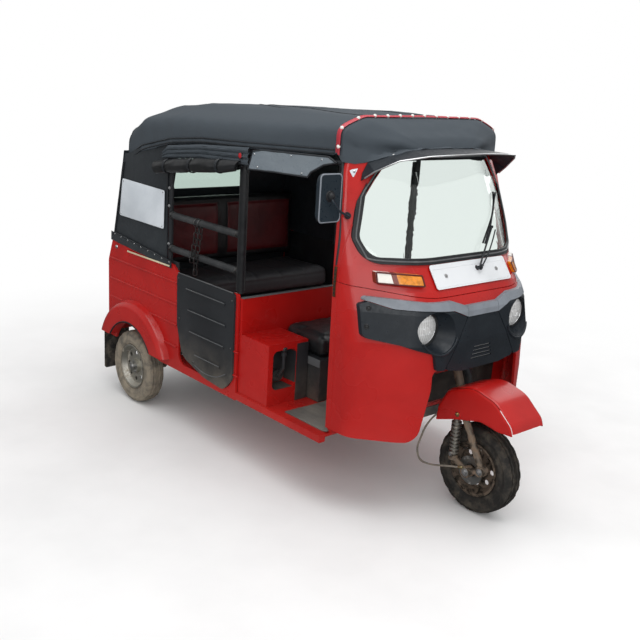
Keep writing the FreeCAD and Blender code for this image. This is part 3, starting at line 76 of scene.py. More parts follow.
class Graph:
    """The node tree of one finish, with short ways to add its usual nodes."""

    def __init__(self, name: str) -> None:
        """Starts a material with its shader.

        Args:
            name: the material's name.
        """
        self.material = bpy.data.materials.new(name)
        self.material.use_nodes = True
        self.tree = self.material.node_tree
        self.shader = self.tree.nodes["Principled BSDF"]
        self.coords = self.add("ShaderNodeTexCoord").outputs["Object"]

    def add(self, kind: str, **settings: object) -> bpy.types.Node:
        """Adds a node.

        Args:
            kind: the node's type name.
            settings: attributes to set on it.

        Returns:
            The new node.
        """
        node = self.tree.nodes.new(kind)
        for key, value in settings.items():
            setattr(node, key, value)
        return node

    def feed(self, socket: Socket, value: object) -> None:
        """Links a socket to another, or sets its value.

        Args:
            socket: the input to fill.
            value: an output socket, a number or a colour.
        """
        if isinstance(value, bpy.types.NodeSocket):
            self.tree.links.new(value, socket)
        elif isinstance(value, tuple) and len(value) == 3 and len(socket.default_value) == 4:
            socket.default_value = (*value, 1.0)
        else:
            socket.default_value = value

    def set(self, **values: object) -> None:
        """Fills shader inputs; an underscore in a key stands for a space.

        Args:
            values: input names with their sockets or values.
        """
        for key, value in values.items():
            self.feed(self.shader.inputs[key.replace("_", " ")], value)

    def stretched(self, scale: Point) -> Socket:
        """Object coordinates with their own scale.

        Args:
            scale: scale along each axis.

        Returns:
            The vector output.
        """
        node = self.add("ShaderNodeMapping")
        self.feed(node.inputs["Vector"], self.coords)
        node.inputs["Scale"].default_value = scale
        return node.outputs["Vector"]

    def noise(self, scale: float, detail: float = 4.0, rough: float = 0.55, warp: float = 0.0,
              vector: Optional[Socket] = None) -> Socket:
        """Fractal noise from 0 to 1.

        Args:
            scale: features per metre.
            detail: number of octaves.
            rough: strength of the finer octaves.
            warp: distortion.
            vector: where it is read, instead of plain object coordinates.

        Returns:
            The value output.
        """
        node = self.add("ShaderNodeTexNoise")
        self.feed(node.inputs["Vector"], vector or self.coords)
        for key, value in (("Scale", scale), ("Detail", detail), ("Roughness", rough), ("Distortion", warp)):
            node.inputs[key].default_value = value
        return node.outputs[0]

    def cells(self, scale: float) -> Socket:
        """Distance to the nearest of many scattered points.

        Args:
            scale: cells per metre.

        Returns:
            The distance output.
        """
        node = self.add("ShaderNodeTexVoronoi")
        self.feed(node.inputs["Vector"], self.coords)
        node.inputs["Scale"].default_value = scale
        return node.outputs["Distance"]

    def waves(self, scale: float, direction: str) -> Socket:
        """Parallel ridges.

        Args:
            scale: ridges, in Blender's wave scale.
            direction: the axis that they follow one another along.

        Returns:
            The value output.
        """
        node = self.add("ShaderNodeTexWave", bands_direction=direction)
        self.feed(node.inputs["Vector"], self.coords)
        node.inputs["Scale"].default_value = scale
        return node.outputs["Fac"]

    def ramp(self, value: Socket, low: float, high: float, bottom: float = 0.0,
             top: float = 1.0) -> Socket:
        """Maps a range of a value to another, held at its ends.

        Args:
            value: the value that is read.
            low: where the range starts.
            high: where it ends.
            bottom: result at the start.
            top: result at the end.

        Returns:
            The mapped value.
        """
        node = self.add("ShaderNodeMapRange", interpolation_type="SMOOTHSTEP")
        for key, number in (("From Min", low), ("From Max", high), ("To Min", bottom), ("To Max", top)):
            node.inputs[key].default_value = number
        self.feed(node.inputs["Value"], value)
        return node.outputs[0]

    def maths(self, operation: str, a: object, b: object = 0.0) -> Socket:
        """One sum on two values.

        Args:
            operation: the math node's operation.
            a: first value or socket.
            b: second value or socket.

        Returns:
            The result.
        """
        node = self.add("ShaderNodeMath", operation=operation)
        self.feed(node.inputs[0], a)
        self.feed(node.inputs[1], b)
        return node.outputs[0]

    def mix(self, a: object, b: object, amount: object) -> Socket:
        """Mixes two colours.

        Args:
            a: colour where the amount is 0.
            b: colour where it is 1.
            amount: how much of the second.

        Returns:
            The mixed colour.
        """
        node = self.add("ShaderNodeMix", data_type="RGBA")
        self.feed(node.inputs[0], amount)
        self.feed(node.inputs[6], a)
        self.feed(node.inputs[7], b)
        return node.outputs[2]

    def axis(self, name: str) -> Socket:
        """One object coordinate, by its letter."""
        node = self.add("ShaderNodeSeparateXYZ")
        self.feed(node.inputs[0], self.coords)
        return node.outputs[name]

    def relief(self, *layers: tuple[Socket, float]) -> None:
        """Gives the shader bump from one or more heights.

        Args:
            layers: pairs of a height from 0 to 1 and its depth in metres.
        """
        normal = None
        for height, depth in layers:
            node = self.add("ShaderNodeBump")
            node.inputs["Distance"].default_value = depth
            self.feed(node.inputs["Height"], height)
            if normal is not None:
                self.feed(node.inputs["Normal"], normal)
            normal = node.outputs["Normal"]
        self.feed(self.shader.inputs["Normal"], normal)

    def dusted(self, colour: Socket, top: float, amount: float) -> tuple[Socket, Socket]:
        """Lays road dust over the lower part of a surface.

        Args:
            colour: the clean colour.
            top: height in metres where the dust ends.
            amount: how thick it lies at the bottom.

        Returns:
            The dusty colour and the dust's mask.
        """
        fall = self.ramp(self.axis("Z"), top, top * 0.35)
        patch = self.ramp(self.noise(11.0, 6.0, 0.65), 0.30, 0.72, 0.25, 1.0)
        mask = self.maths("MULTIPLY", self.maths("MULTIPLY", fall, patch), amount)
        return self.mix(colour, DUST, mask), mask


@dataclass(frozen=True)
class Finish:
    """What every finish shares: a name, and a material that is made once."""

    name: str

    def material(self) -> bpy.types.Material:
        """The finish's material, made the first time it is asked for."""
        found = bpy.data.materials.get(self.name)
        if found is not None:
            return found
        graph = Graph(self.name)
        self.wire(graph)
        return graph.material

    def wire(self, graph: Graph) -> None:
        """Adds the finish's nodes.

        Args:
            graph: the tree to wire.
        """
        raise NotImplementedError


@dataclass(frozen=True)
class Paint(Finish):
    """Sprayed paint with slow colour drift, orange peel and road dust low down."""

    colour: Colour
    deep: Colour
    roughness: float = 0.24
    coat: float = 0.6
    dust_top: float = 0.75
    dust: float = 0.35
    gloss: float = 0.3

    def wire(self, graph: Graph) -> None:
        """Adds the paint's nodes.

        Args:
            graph: the tree to wire.
        """
        drift = graph.ramp(graph.noise(2.2, 5.0, 0.6, 0.4), 0.35, 0.7)
        base = graph.mix(self.colour, self.deep, drift)
        streak = graph.noise(6.0, 1.0, 0.4, 0.0, graph.stretched((1.0, 1.0, 0.18)))
        base = graph.mix(base, tuple(c * 0.8 for c in self.deep), graph.ramp(streak, 0.5, 0.8, 0.0, 0.1))
        colour, mask = graph.dusted(base, self.dust_top, self.dust)
        smear = graph.ramp(graph.noise(6.0, 2.0, 0.5), 0.3, 0.8, self.roughness, self.roughness + 0.08)
        rough = graph.maths("ADD", smear, graph.maths("MULTIPLY", mask, 0.5))
        graph.set(Base_Color=colour, Roughness=rough, Coat_Weight=self.coat, Coat_Roughness=0.12,
                  Specular_IOR_Level=self.gloss)
        graph.relief((graph.noise(5.0, 2.0, 0.4), 0.0016), (graph.noise(420.0, 2.0), 0.00003))


@dataclass(frozen=True)
class Moulded(Finish):
    """Grained plastic, greyed where it has weathered."""

    colour: Colour
    worn: Colour
    roughness: float = 0.42
    grain: float = 0.00006
    dust_top: float = 0.5
    dust: float = 0.2

    def wire(self, graph: Graph) -> None:
        """Adds the plastic's nodes.

        Args:
            graph: the tree to wire.
        """
        wear = graph.ramp(graph.noise(7.0, 6.0, 0.65, 0.6), 0.42, 0.75)
        base = graph.mix(self.colour, self.worn, wear)
        colour, mask = graph.dusted(base, self.dust_top, self.dust)
        rough = graph.ramp(graph.noise(60.0, 5.0), 0.3, 0.7, self.roughness - 0.07, self.roughness + 0.12)
        graph.set(Base_Color=colour, Roughness=graph.maths("ADD", rough, graph.maths("MULTIPLY", mask, 0.4)),
                  Specular_IOR_Level=0.35)
        graph.relief((graph.cells(900.0), self.grain), (graph.noise(3.0, 3.0), 0.001))


@dataclass(frozen=True)
class Vinyl(Finish):
    """Coated cloth with fine leather grain, broad creases and sun-greyed crests."""

    colour: Colour
    faded: Colour
    roughness: float = 0.46
    crease: float = 0.004
    crease_scale: float = 5.0
    sheen: float = 0.1

    def wire(self, graph: Graph) -> None:
        """Adds the vinyl's nodes.

        Args:
            graph: the tree to wire.
        """
        fade = graph.ramp(graph.noise(2.6, 6.0, 0.6, 0.5), 0.35, 0.72)
        speck = graph.ramp(graph.noise(70.0, 4.0, 0.7), 0.6, 0.85, 0.0, 0.5)
        base = graph.mix(graph.mix(self.colour, self.faded, fade), self.faded, speck)
        graph.set(
            Base_Color=base,
            Roughness=graph.ramp(graph.noise(22.0, 5.0), 0.3, 0.75, self.roughness - 0.06, self.roughness + 0.14),
            Sheen_Weight=self.sheen,
        )
        folds = graph.noise(self.crease_scale, 3.0, 0.5, 1.2, graph.stretched((1.0, 0.6, 1.6)))
        graph.relief((folds, self.crease), (graph.cells(520.0), 0.00012))


@dataclass(frozen=True)
class Rubber(Finish):
    """Rubber with grey bloom and caked road dirt."""

    colour: Colour
    dirt: Colour
    dirty: float = 0.5
    roughness: float = 0.72

    def wire(self, graph: Graph) -> None:
        """Adds the rubber's nodes.

        Args:
            graph: the tree to wire.
        """
        cake = graph.ramp(graph.noise(16.0, 8.0, 0.7, 0.3), 0.62 - 0.5 * self.dirty, 0.86 - 0.3 * self.dirty)
        film = graph.ramp(graph.noise(120.0, 4.0, 0.7), 0.35, 0.8, 0.0, 0.35 * self.dirty)
        base = graph.mix(graph.mix(self.colour, self.dirt, cake), self.dirt, film)
        graph.set(Base_Color=base, Specular_IOR_Level=0.3,
                  Roughness=graph.ramp(cake, 0.0, 1.0, self.roughness - 0.1, min(1.0, self.roughness + 0.2)))
        graph.relief((graph.noise(55.0, 5.0, 0.6), 0.0007), (graph.noise(500.0, 3.0), 0.00006))


@dataclass(frozen=True)
class Metal(Finish):
    """Bare or plated metal with rust or grime in patches."""

    colour: Colour
    grime: Colour
    grimy: float = 0.3
    roughness: float = 0.32

    def wire(self, graph: Graph) -> None:
        """Adds the metal's nodes.

        Args:
            graph: the tree to wire.
        """
        patch = graph.ramp(graph.noise(28.0, 8.0, 0.72, 0.4), 0.78 - 0.5 * self.grimy, 0.98 - 0.5 * self.grimy)
        graph.set(
            Base_Color=graph.mix(self.colour, self.grime, patch),
            Metallic=graph.ramp(patch, 0.0, 0.8, 1.0, 0.0),
            Roughness=graph.ramp(patch, 0.0, 1.0, self.roughness, 0.85),
        )
        graph.relief((graph.noise(150.0, 5.0, 0.7), 0.0002), (graph.noise(18.0, 3.0), 0.0004))


@dataclass(frozen=True)
class Glass(Finish):
    """Clear pane with a faint film of dust."""

    tint: Colour
    film: float = 0.03

    def wire(self, graph: Graph) -> None:
        """Adds the glass's nodes.

        Args:
            graph: the tree to wire.
        """
        smear = graph.ramp(graph.noise(6.0, 7.0, 0.7, 0.8), 0.45, 0.8, 0.0, self.film)
        graph.set(Base_Color=self.tint, Transmission_Weight=1.0, IOR=1.45, Roughness=smear)


@dataclass(frozen=True)
class Lens(Finish):
    """Moulded lamp lens with flutes."""

    colour: Colour
    flutes: float
    through: float
    depth: float = 0.0006

    def wire(self, graph: Graph) -> None:
        """Adds the lens's nodes.

        Args:
            graph: the tree to wire.
        """
        base = graph.mix(self.colour, tuple(c * 0.8 for c in self.colour), graph.ramp(graph.noise(60.0, 3.0), 0.4, 0.7))
        graph.set(Base_Color=base, Roughness=graph.ramp(graph.noise(90.0), 0.3, 0.8, 0.06, 0.2),
                  Transmission_Weight=self.through, IOR=1.48)
        graph.relief((graph.waves(self.flutes, "X"), self.depth), (graph.waves(self.flutes * 0.6, "Z"), self.depth))


@dataclass(frozen=True)
class IndicatorLens(Finish):
    """Turn lamp lens: amber within, a dark divider, a clear outer part and a dark end wall."""

    amber: Colour
    clear: Colour
    dark: Colour
    divider: tuple[float, float] = (0.392, 0.410)
    end: float = 0.4590

    def wire(self, graph: Graph) -> None:
        """Adds the lens's nodes.

        Args:
            graph: the tree to wire.
        """
        side = graph.maths("ABSOLUTE", graph.axis("X"))
        first, last = self.divider
        base = graph.mix(self.amber, tuple(c * 0.7 for c in self.amber), graph.ramp(graph.noise(60.0, 3.0), 0.4, 0.7))
        base = graph.mix(base, self.dark, graph.ramp(side, first, first + 0.001))
        base = graph.mix(base, self.clear, graph.ramp(side, last, last + 0.001))
        base = graph.mix(base, self.dark, graph.ramp(side, self.end, self.end + 0.0015))
        graph.set(Base_Color=base, Roughness=graph.ramp(graph.noise(90.0), 0.3, 0.8, 0.12, 0.25), Coat_Weight=0.6)
        graph.relief((graph.waves(70.0, "X"), 0.0008), (graph.waves(90.0, "Z"), 0.0005))


@dataclass(frozen=True)
class HeadlampGlass(Finish):
    """Fluted lamp glass whose face is painted with its reflector's bright reflection, painted shade along the flutes
    and painted highlight bands; the housing behind is dark.
    """

    # colour of the painted reflection of the reflector on the lamp's face
    bright: Colour
    housing: Colour
    face_y: float = -0.9262

    def wire(self, graph: Graph) -> None:
        """Adds the lamp's nodes.

        Args:
            graph: the tree to wire.
        """
        front = graph.ramp(graph.axis("Y"), self.face_y, self.face_y + 0.002, 1.0, 0.0)
        flutes = graph.waves(26.0, "X")
        bands = graph.waves(11.0, "Z")
        # painted reflection: the face's pale colour stands in for the bright reflector behind the glass, with painted
        # shade along the flutes and painted highlight bands
        painted_reflection = graph.mix(self.bright, tuple(c * 0.55 for c in self.bright), graph.maths("MULTIPLY", flutes, 0.6))
        painted_reflection = graph.mix(painted_reflection, (0.93, 0.94, 0.95), graph.ramp(bands, 0.7, 1.0, 0.0, 0.5))
        graph.set(Base_Color=graph.mix(self.housing, painted_reflection, front), Metallic=graph.maths("MULTIPLY", front, 0.25),
                  Roughness=graph.ramp(graph.noise(40.0), 0.3, 0.8, 0.10, 0.22), Coat_Weight=0.9, Coat_Roughness=0.04)
        graph.relief((flutes, 0.0006), (bands, 0.0004))


@dataclass(frozen=True)
class Panelled(Finish):
    """Backrest vinyl with two coloured panels between dark borders."""

    border: Colour
    panel: Colour
    inner: float = 0.035
    outer: float = 0.505
    low: float = 0.80
    high: float = 1.10

    def wire(self, graph: Graph) -> None:
        """Adds the backrest's nodes.

        Args:
            graph: the tree to wire.
        """
        side = graph.maths("ABSOLUTE", graph.axis("X"))
        height = graph.axis("Z")
        soft = 0.0015
        mask = graph.maths("MULTIPLY", graph.ramp(side, self.inner, self.inner + soft),
                           graph.ramp(side, self.outer, self.outer + soft, 1.0, 0.0))
        mask = graph.maths("MULTIPLY", mask, graph.ramp(height, self.low, self.low + soft))
        mask = graph.maths("MULTIPLY", mask, graph.ramp(height, self.high, self.high + soft, 1.0, 0.0))
        mask = graph.maths("MULTIPLY", mask, graph.ramp(graph.axis("Y"), 1.045, 1.055, 1.0, 0.0))
        worn = graph.mix(self.panel, tuple(c * 0.6 for c in self.panel), graph.ramp(graph.noise(7.0, 5.0), 0.35, 0.7))
        graph.set(Base_Color=graph.mix(self.border, worn, mask),
                  Roughness=graph.ramp(graph.noise(22.0, 5.0), 0.3, 0.75, 0.32, 0.5))
        graph.relief((graph.noise(9.0, 3.0, 0.5, 1.0), 0.003), (graph.cells(520.0), 0.00012))


@dataclass(frozen=True)
class Mat(Finish):
    """Ribbed floor mat, trodden and dusty."""

    colour: Colour
    worn: Colour

    def wire(self, graph: Graph) -> None:
        """Adds the mat's nodes.

        Args:
            graph: the tree to wire.
        """
        tread = graph.ramp(graph.noise(5.0, 7.0, 0.7, 0.6), 0.35, 0.7)
        graph.set(Base_Color=graph.mix(self.colour, self.worn, tread),
                  Roughness=graph.ramp(tread, 0.0, 1.0, 0.65, 0.92))
        graph.relief((graph.waves(40.0, "X"), 0.0015), (graph.noise(90.0, 5.0), 0.0005))


class Finishes:
    """The finishes of this vehicle."""

    RED = Paint("red_enamel", (0.44, 0.010, 0.008), (0.36, 0.007, 0.006), 0.26, 0.35, 0.45, 0.12)
    BLACK = Paint("black_enamel", (0.018, 0.02, 0.023), (0.028, 0.031, 0.035), 0.38, 0.15, 0.6, 0.45)
    WHITE = Paint("white_enamel", (0.74, 0.76, 0.78), (0.62, 0.64, 0.66), 0.35, 0.2, 0.4, 0.2)
    CREAM = Paint("cream_strip", (0.62, 0.55, 0.38), (0.45, 0.38, 0.25), 0.5, 0.0, 0.4, 0.2)
    GREY_BAR = Moulded("ribbed_sleeve", (0.030, 0.032, 0.034), (0.06, 0.062, 0.064), 0.4)
    PANEL = Moulded("lamp_panel_plastic", (0.010, 0.014, 0.019), (0.016, 0.021, 0.027), 0.34)
    STRIP = Metal("punched_strip", (0.20, 0.13, 0.07), (0.10, 0.055, 0.03), 0.5, 0.5)
    UNDERSEAL = Rubber("underseal", (0.016, 0.014, 0.013), (0.05, 0.04, 0.034), 0.6, 0.7)
    CHAIN = Metal("dark_chain", (0.16, 0.16, 0.16), (0.10, 0.07, 0.05), 0.35, 0.4)
    # dark brown with rust-coloured patches, darker than the rear rims
    RIM_FRONT = Metal("front_rim_dark_brown", (0.075, 0.064, 0.052), (0.12, 0.085, 0.06), 0.8, 0.7)
    MIRROR_BACK = Moulded("mirror_back", (0.014, 0.022, 0.030), (0.018, 0.027, 0.036), 0.32)
    TRIM = Moulded("brow_grey_plastic", (0.20, 0.22, 0.25), (0.15, 0.165, 0.185), 0.38)
    CAB_PLASTIC = Moulded("cab_black_plastic", (0.014, 0.015, 0.017), (0.03, 0.032, 0.036), 0.5)
    VISOR = Moulded("visor_vinyl", (0.014, 0.018, 0.023), (0.022, 0.027, 0.033), 0.4)
    DARK_RED = Moulded("indicator_frame", (0.10, 0.012, 0.010), (0.06, 0.01, 0.01), 0.35)
    HOOD = Vinyl("hood_vinyl", (0.038, 0.049, 0.060), (0.064, 0.080, 0.095), 0.40, 0.003)
    CANVAS = Vinyl("black_canvas", (0.011, 0.016, 0.021), (0.018, 0.025, 0.031), 0.5, 0.002, 5.0, 0.05)
    CURTAIN = Vinyl("rolled_curtain", (0.005, 0.006, 0.007), (0.010, 0.011, 0.013), 0.36, 0.002, 12.0, 0.03)
    WELT = Vinyl("welt_vinyl", (0.010, 0.012, 0.015), (0.022, 0.026, 0.031), 0.42, 0.0005, 30.0, 0.0)
    FLAP = Vinyl("front_flap_vinyl", (0.12, 0.145, 0.17), (0.17, 0.20, 0.225), 0.3, 0.003, 7.0)
    SEAT = Vinyl("seat_vinyl", (0.006, 0.007, 0.008), (0.012, 0.013, 0.015), 0.42, 0.003, 9.0, 0.0)
    SEAT_GLOSS = Vinyl("driver_seat_vinyl", (0.008, 0.009, 0.010), (0.016, 0.017, 0.019), 0.40, 0.0006, 5.0, 0.0)
    SEAT_BACK = Panelled("seat_back_vinyl", (0.007, 0.008, 0.009), (0.10, 0.006, 0.008))
    BAND = Vinyl("front_band_red", (0.42, 0.026, 0.042), (0.32, 0.020, 0.032), 0.36, 0.001, 20.0, 0.0)
    STUD = Paint("white_studs", (0.78, 0.77, 0.74), (0.66, 0.65, 0.61), 0.3, 0.3, 0.1, 0.0)
    BOARD = Paint("white_board", (0.62, 0.66, 0.70), (0.50, 0.54, 0.58), 0.42, 0.1, 0.1, 0.0)
    SPRING = Metal("spring_steel", (0.50, 0.48, 0.44), (0.30, 0.22, 0.15), 0.5, 0.5)
    HOSE = Rubber("dusty_hose", (0.10, 0.092, 0.082), (0.24, 0.21, 0.17), 0.7, 0.8)
    GASKET = Rubber("gasket_rubber", (0.015, 0.016, 0.018), (0.06, 0.06, 0.06), 0.15, 0.5)
    # its grey paints highlights along the gasket and the door's ribs; it also colours the door's top edge and the cab
    # strips
    LIP = Rubber("gasket_lip", (0.10, 0.105, 0.11), (0.16, 0.16, 0.155), 0.3, 0.45)
    FLAP_RUBBER = Rubber("mud_flap_rubber", (0.02, 0.02, 0.02), (0.16, 0.14, 0.11), 0.4)
    TYRE_REAR = Rubber("rear_tyre_rubber", (0.055, 0.052, 0.047), (0.25, 0.215, 0.165), 0.75, 0.85)
    TYRE_FRONT = Rubber("front_tyre_rubber", (0.016, 0.015, 0.014), (0.085, 0.072, 0.056), 0.4, 0.8)
    RIM = Metal("rim_steel_paint", (0.60, 0.58, 0.52), (0.26, 0.21, 0.15), 0.55, 0.5)
    CHROME = Metal("bright_steel", (0.82, 0.83, 0.84), (0.35, 0.32, 0.28), 0.1, 0.14)
    STEEL = Metal("bare_steel", (0.55, 0.55, 0.54), (0.22, 0.15, 0.10), 0.35, 0.36)
    FORK = Metal("fork_rusty_paint", (0.20, 0.17, 0.14), (0.17, 0.115, 0.075), 0.75, 0.6)
    BRASS = Metal("brass_bolt", (0.72, 0.60, 0.33), (0.3, 0.24, 0.12), 0.15, 0.3)
    CAST = Metal("cast_alloy", (0.42, 0.42, 0.41), (0.12, 0.10, 0.08), 0.5, 0.5)
    SILVER = Metal("silver_edging", (0.80, 0.81, 0.82), (0.5, 0.5, 0.48), 0.12, 0.3)
    SCREEN = Glass("windscreen_glass", (0.80, 0.875, 0.84))
    MIRROR_GLASS = Metal("mirror_silvering", (0.9, 0.9, 0.9), (0.6, 0.6, 0.6), 0.0, 0.03)
    WINDOW = Glass("rear_window_sheet", (0.50, 0.62, 0.56), 0.12)
    # the first colour is painted onto the lamp's face as the reflector's reflection
    LAMP = HeadlampGlass("headlamp_glass", (0.92, 0.92, 0.91), (0.03, 0.03, 0.03))
    AMBER = IndicatorLens("indicator_lens", (0.80, 0.27, 0.012), (0.80, 0.78, 0.72), (0.16, 0.018, 0.006))
    TAIL = Lens("tail_lamp_lens", (0.42, 0.008, 0.008), 80.0, 0.3)
    REFLECTOR = Lens("red_reflector", (0.65, 0.02, 0.03), 200.0, 0.2)
    FLOOR_MAT = Mat("floor_mat", (0.105, 0.098, 0.088), (0.20, 0.185, 0.16))


NODE_FINISHES = {
    Finishes.RED: ("front_cowl", "windscreen_frame", "floor_pan", "bulkhead", "side_panel_right", "side_panel_left",
                   "rear_fenders", "rear_panel", "engine_hatch", "front_fender"),
    Finishes.BLACK: ("chassis_frame", "steering_head", "driver_seat_box", "passenger_bench", "start_lever",
                     "rear_bumper", "roof_frame", "roof_bows", "side_door_panel", "muffler", "trailing_arms",
                     "rear_shocks", "wiper"),
    Finishes.WHITE: ("front_plate",),
    Finishes.GREY_BAR: ("side_bars",),
    Finishes.PANEL: ("headlamp_panels",),
    Finishes.TRIM: ("brow_trim",),
    Finishes.CAB_PLASTIC: ("dashboard", "handlebar"),
    Finishes.VISOR: ("sun_visor",),
    Finishes.HOOD: ("canopy_roof",),
    Finishes.CANVAS: ("canopy_sides",),
    Finishes.CURTAIN: ("side_curtains",),
    Finishes.SEAT: ("driver_cushion", "passenger_cushions"),
    Finishes.GASKET: ("windscreen_rubber",),
    Finishes.HOSE: ("brake_hose",),
    Finishes.SPRING: ("front_spring",),
    Finishes.FLAP_RUBBER: ("mud_flaps",),
    Finishes.TYRE_REAR: ("rear_wheel_right_tyre", "rear_wheel_left_tyre"),
    Finishes.TYRE_FRONT: ("front_wheel_tyre",),
    Finishes.RIM: ("rear_wheel_right_rim", "rear_wheel_left_rim"),
    Finishes.RIM_FRONT: ("front_wheel_rim",),
    Finishes.CHAIN: ("safety_chain",),
    Finishes.MIRROR_BACK: ("mirror",),
    Finishes.FORK: ("front_fork",),
    Finishes.CAST: ("engine_block",),
    Finishes.SCREEN: ("windscreen_glass",),
    Finishes.WINDOW: ("rear_window",),
    Finishes.LAMP: ("headlamps",),
    Finishes.AMBER: ("front_indicators",),
    Finishes.TAIL: ("tail_lamps",),
}


def dress_nodes() -> None:
    """Gives every piece that comes with the frame its finish."""
    for finish, names in NODE_FINISHES.items():
        for name in names:
            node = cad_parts[name]
            node.data.materials.clear()
            node.data.materials.append(finish.material())
            log.info("dressed %s in %s", name, finish.name)


def ripple(point: Point, scale: float, seed: float = 0.0) -> float:
    """Smooth noise between -1 and 1 at a place, repeatable from run to run."""
    return noise.noise(Vector(point) * scale + Vector((seed, 2.0 * seed, 3.0 * seed)))


def between(table: Sequence[Point], value: float) -> list[float]:
    """The row of a table at a value of its first column, drawn straight between rows.

    Args:
        table: rows in rising order of their first column.
        value: where the row is wanted.

    Returns:
        The row at that value, held at the table's ends.
    """
    if value <= table[0][0]:
        return list(table[0])
    for low, high in zip(table, table[1:]):
        if value <= high[0]:
            share = (value - low[0]) / (high[0] - low[0])
            return [a + (b - a) * share for a, b in zip(low, high)]
    return list(table[-1])


def bell(offset: float, width: float) -> float:
    """A bump of height 1 that dies away over a width."""
    return math.exp(-(offset / width) ** 2)


def row_between(near: Point, far: Point, steps: int) -> list[Vector]:
    """Evenly spaced places from one to another, both ends with them."""
    return [Vector(near).lerp(Vector(far), k / steps) for k in range(steps + 1)]


def around(radius: float, first: float, last: float, steps: int) -> list[tuple[float, float]]:
    """Places on a circle about zero, from one angle in degrees to another."""
    angles = [math.radians(first + (last - first) * k / steps) for k in range(steps + 1)]
    return [(radius * math.cos(angle), radius * math.sin(angle)) for angle in angles]


def rounded(low: Sequence[float], high: Sequence[float], corner: float,
            pointed: bool = False) -> list[tuple[float, float]]:
    """Control points of an upright rectangle with cut corners.

    Args:
        low: its lowest corner, across and up.
        high: its highest corner.
        corner: how much each corner takes.
        pointed: whether the corners' own points are kept between the cuts.

    Returns:
        The points in order round it.
    """
    (x0, z0), (x1, z1) = low, high
    points = [(x0 + corner, z0), (x1 - corner, z0), (x1, z0), (x1, z0 + corner), (x1, z1 - corner), (x1, z1),
              (x1 - corner, z1), (x0 + corner, z1), (x0, z1), (x0, z1 - corner), (x0, z0 + corner), (x0, z0)]
    return points if pointed else [point for k, point in enumerate(points) if k % 3 != 2]


def curve_mesh(points: Sequence[Point], smooth: bool = True, closed: bool = False, steps: int = 6,
               radius: float = 0.0, sides: int = 0, swell: Sequence[float] = ()) -> bpy.types.Mesh:
    """The mesh that a curve gives, a bare line or a round bar.

    Args:
        points: the points that it follows.
        smooth: whether it runs as a smooth curve near the points.
        closed: whether it returns to its start.
        steps: places along it for each point.
        radius: the bar's radius.
        sides: roundness of its section.
        swell: how much thicker it is at each point.

    Returns:
        The mesh, which the caller removes after use.
    """
    data = bpy.data.curves.new("bar", "CURVE")
    data.dimensions = "3D"
    data.bevel_depth = radius
    data.bevel_resolution = sides
    data.use_fill_caps = not closed
    spline = data.splines.new("NURBS" if smooth else "POLY")
    spline.points.add(len(points) - 1)
    for i, (row, place) in enumerate(zip(spline.points, points)):
        row.co = (*place, 1.0)
        if swell:
            row.radius = swell[i]
    spline.use_cyclic_u = closed
    if smooth:
        spline.order_u = 3
        spline.use_endpoint_u = not closed
        spline.resolution_u = steps
    holder = bpy.data.objects.new("bar", data)
    mesh = bpy.data.meshes.new_from_object(holder)
    bpy.data.objects.remove(holder)
    bpy.data.curves.remove(data)
    return mesh


class Skin:
    """The outer surface of a piece of the frame, asked for places on it."""

    def __init__(self, *nodes: str) -> None:
        """Reads the surface.

        Args:
            nodes: the pieces that make it.
        """
        gathered = bmesh.new()
        for node in nodes:
            gathered.from_mesh(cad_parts[node].data)
        self.tree = BVHTree.FromBMesh(gathered)
        gathered.free()

    def nearest(self, place: Point) -> tuple[Vector, Vector]:
        """The surface point nearest to a place, and the way out there."""
        found = self.tree.find_nearest(Vector(place))
        return found[0], found[1]

    def cast(self, start: Point, way: Point) -> Optional[tuple[Vector, Vector]]:
        """Where a straight line meets the surface.

        Args:
            start: where the line starts.
            way: where it goes.

        Returns:
            The point and the way out there, or None where it misses.
        """
        found = self.tree.ray_cast(Vector(start), Vector(way).normalized())
        return None if found[0] is None else (found[0], found[1])

    def trace(self, starts: Iterable[Point], way: Point, off: float = 0.0) -> list[Vector]:
        """Places where parallel lines meet the surface.

        Args:
            starts: where the lines start.
            way: where they go, a way of length 1.
            off: how far each place is moved back along its line.

        Returns:
            A place for each line that meets the surface.
        """
        found = [self.cast(start, way) for start in starts]
        return [hit[0] - Vector(way) * off for hit in found if hit]


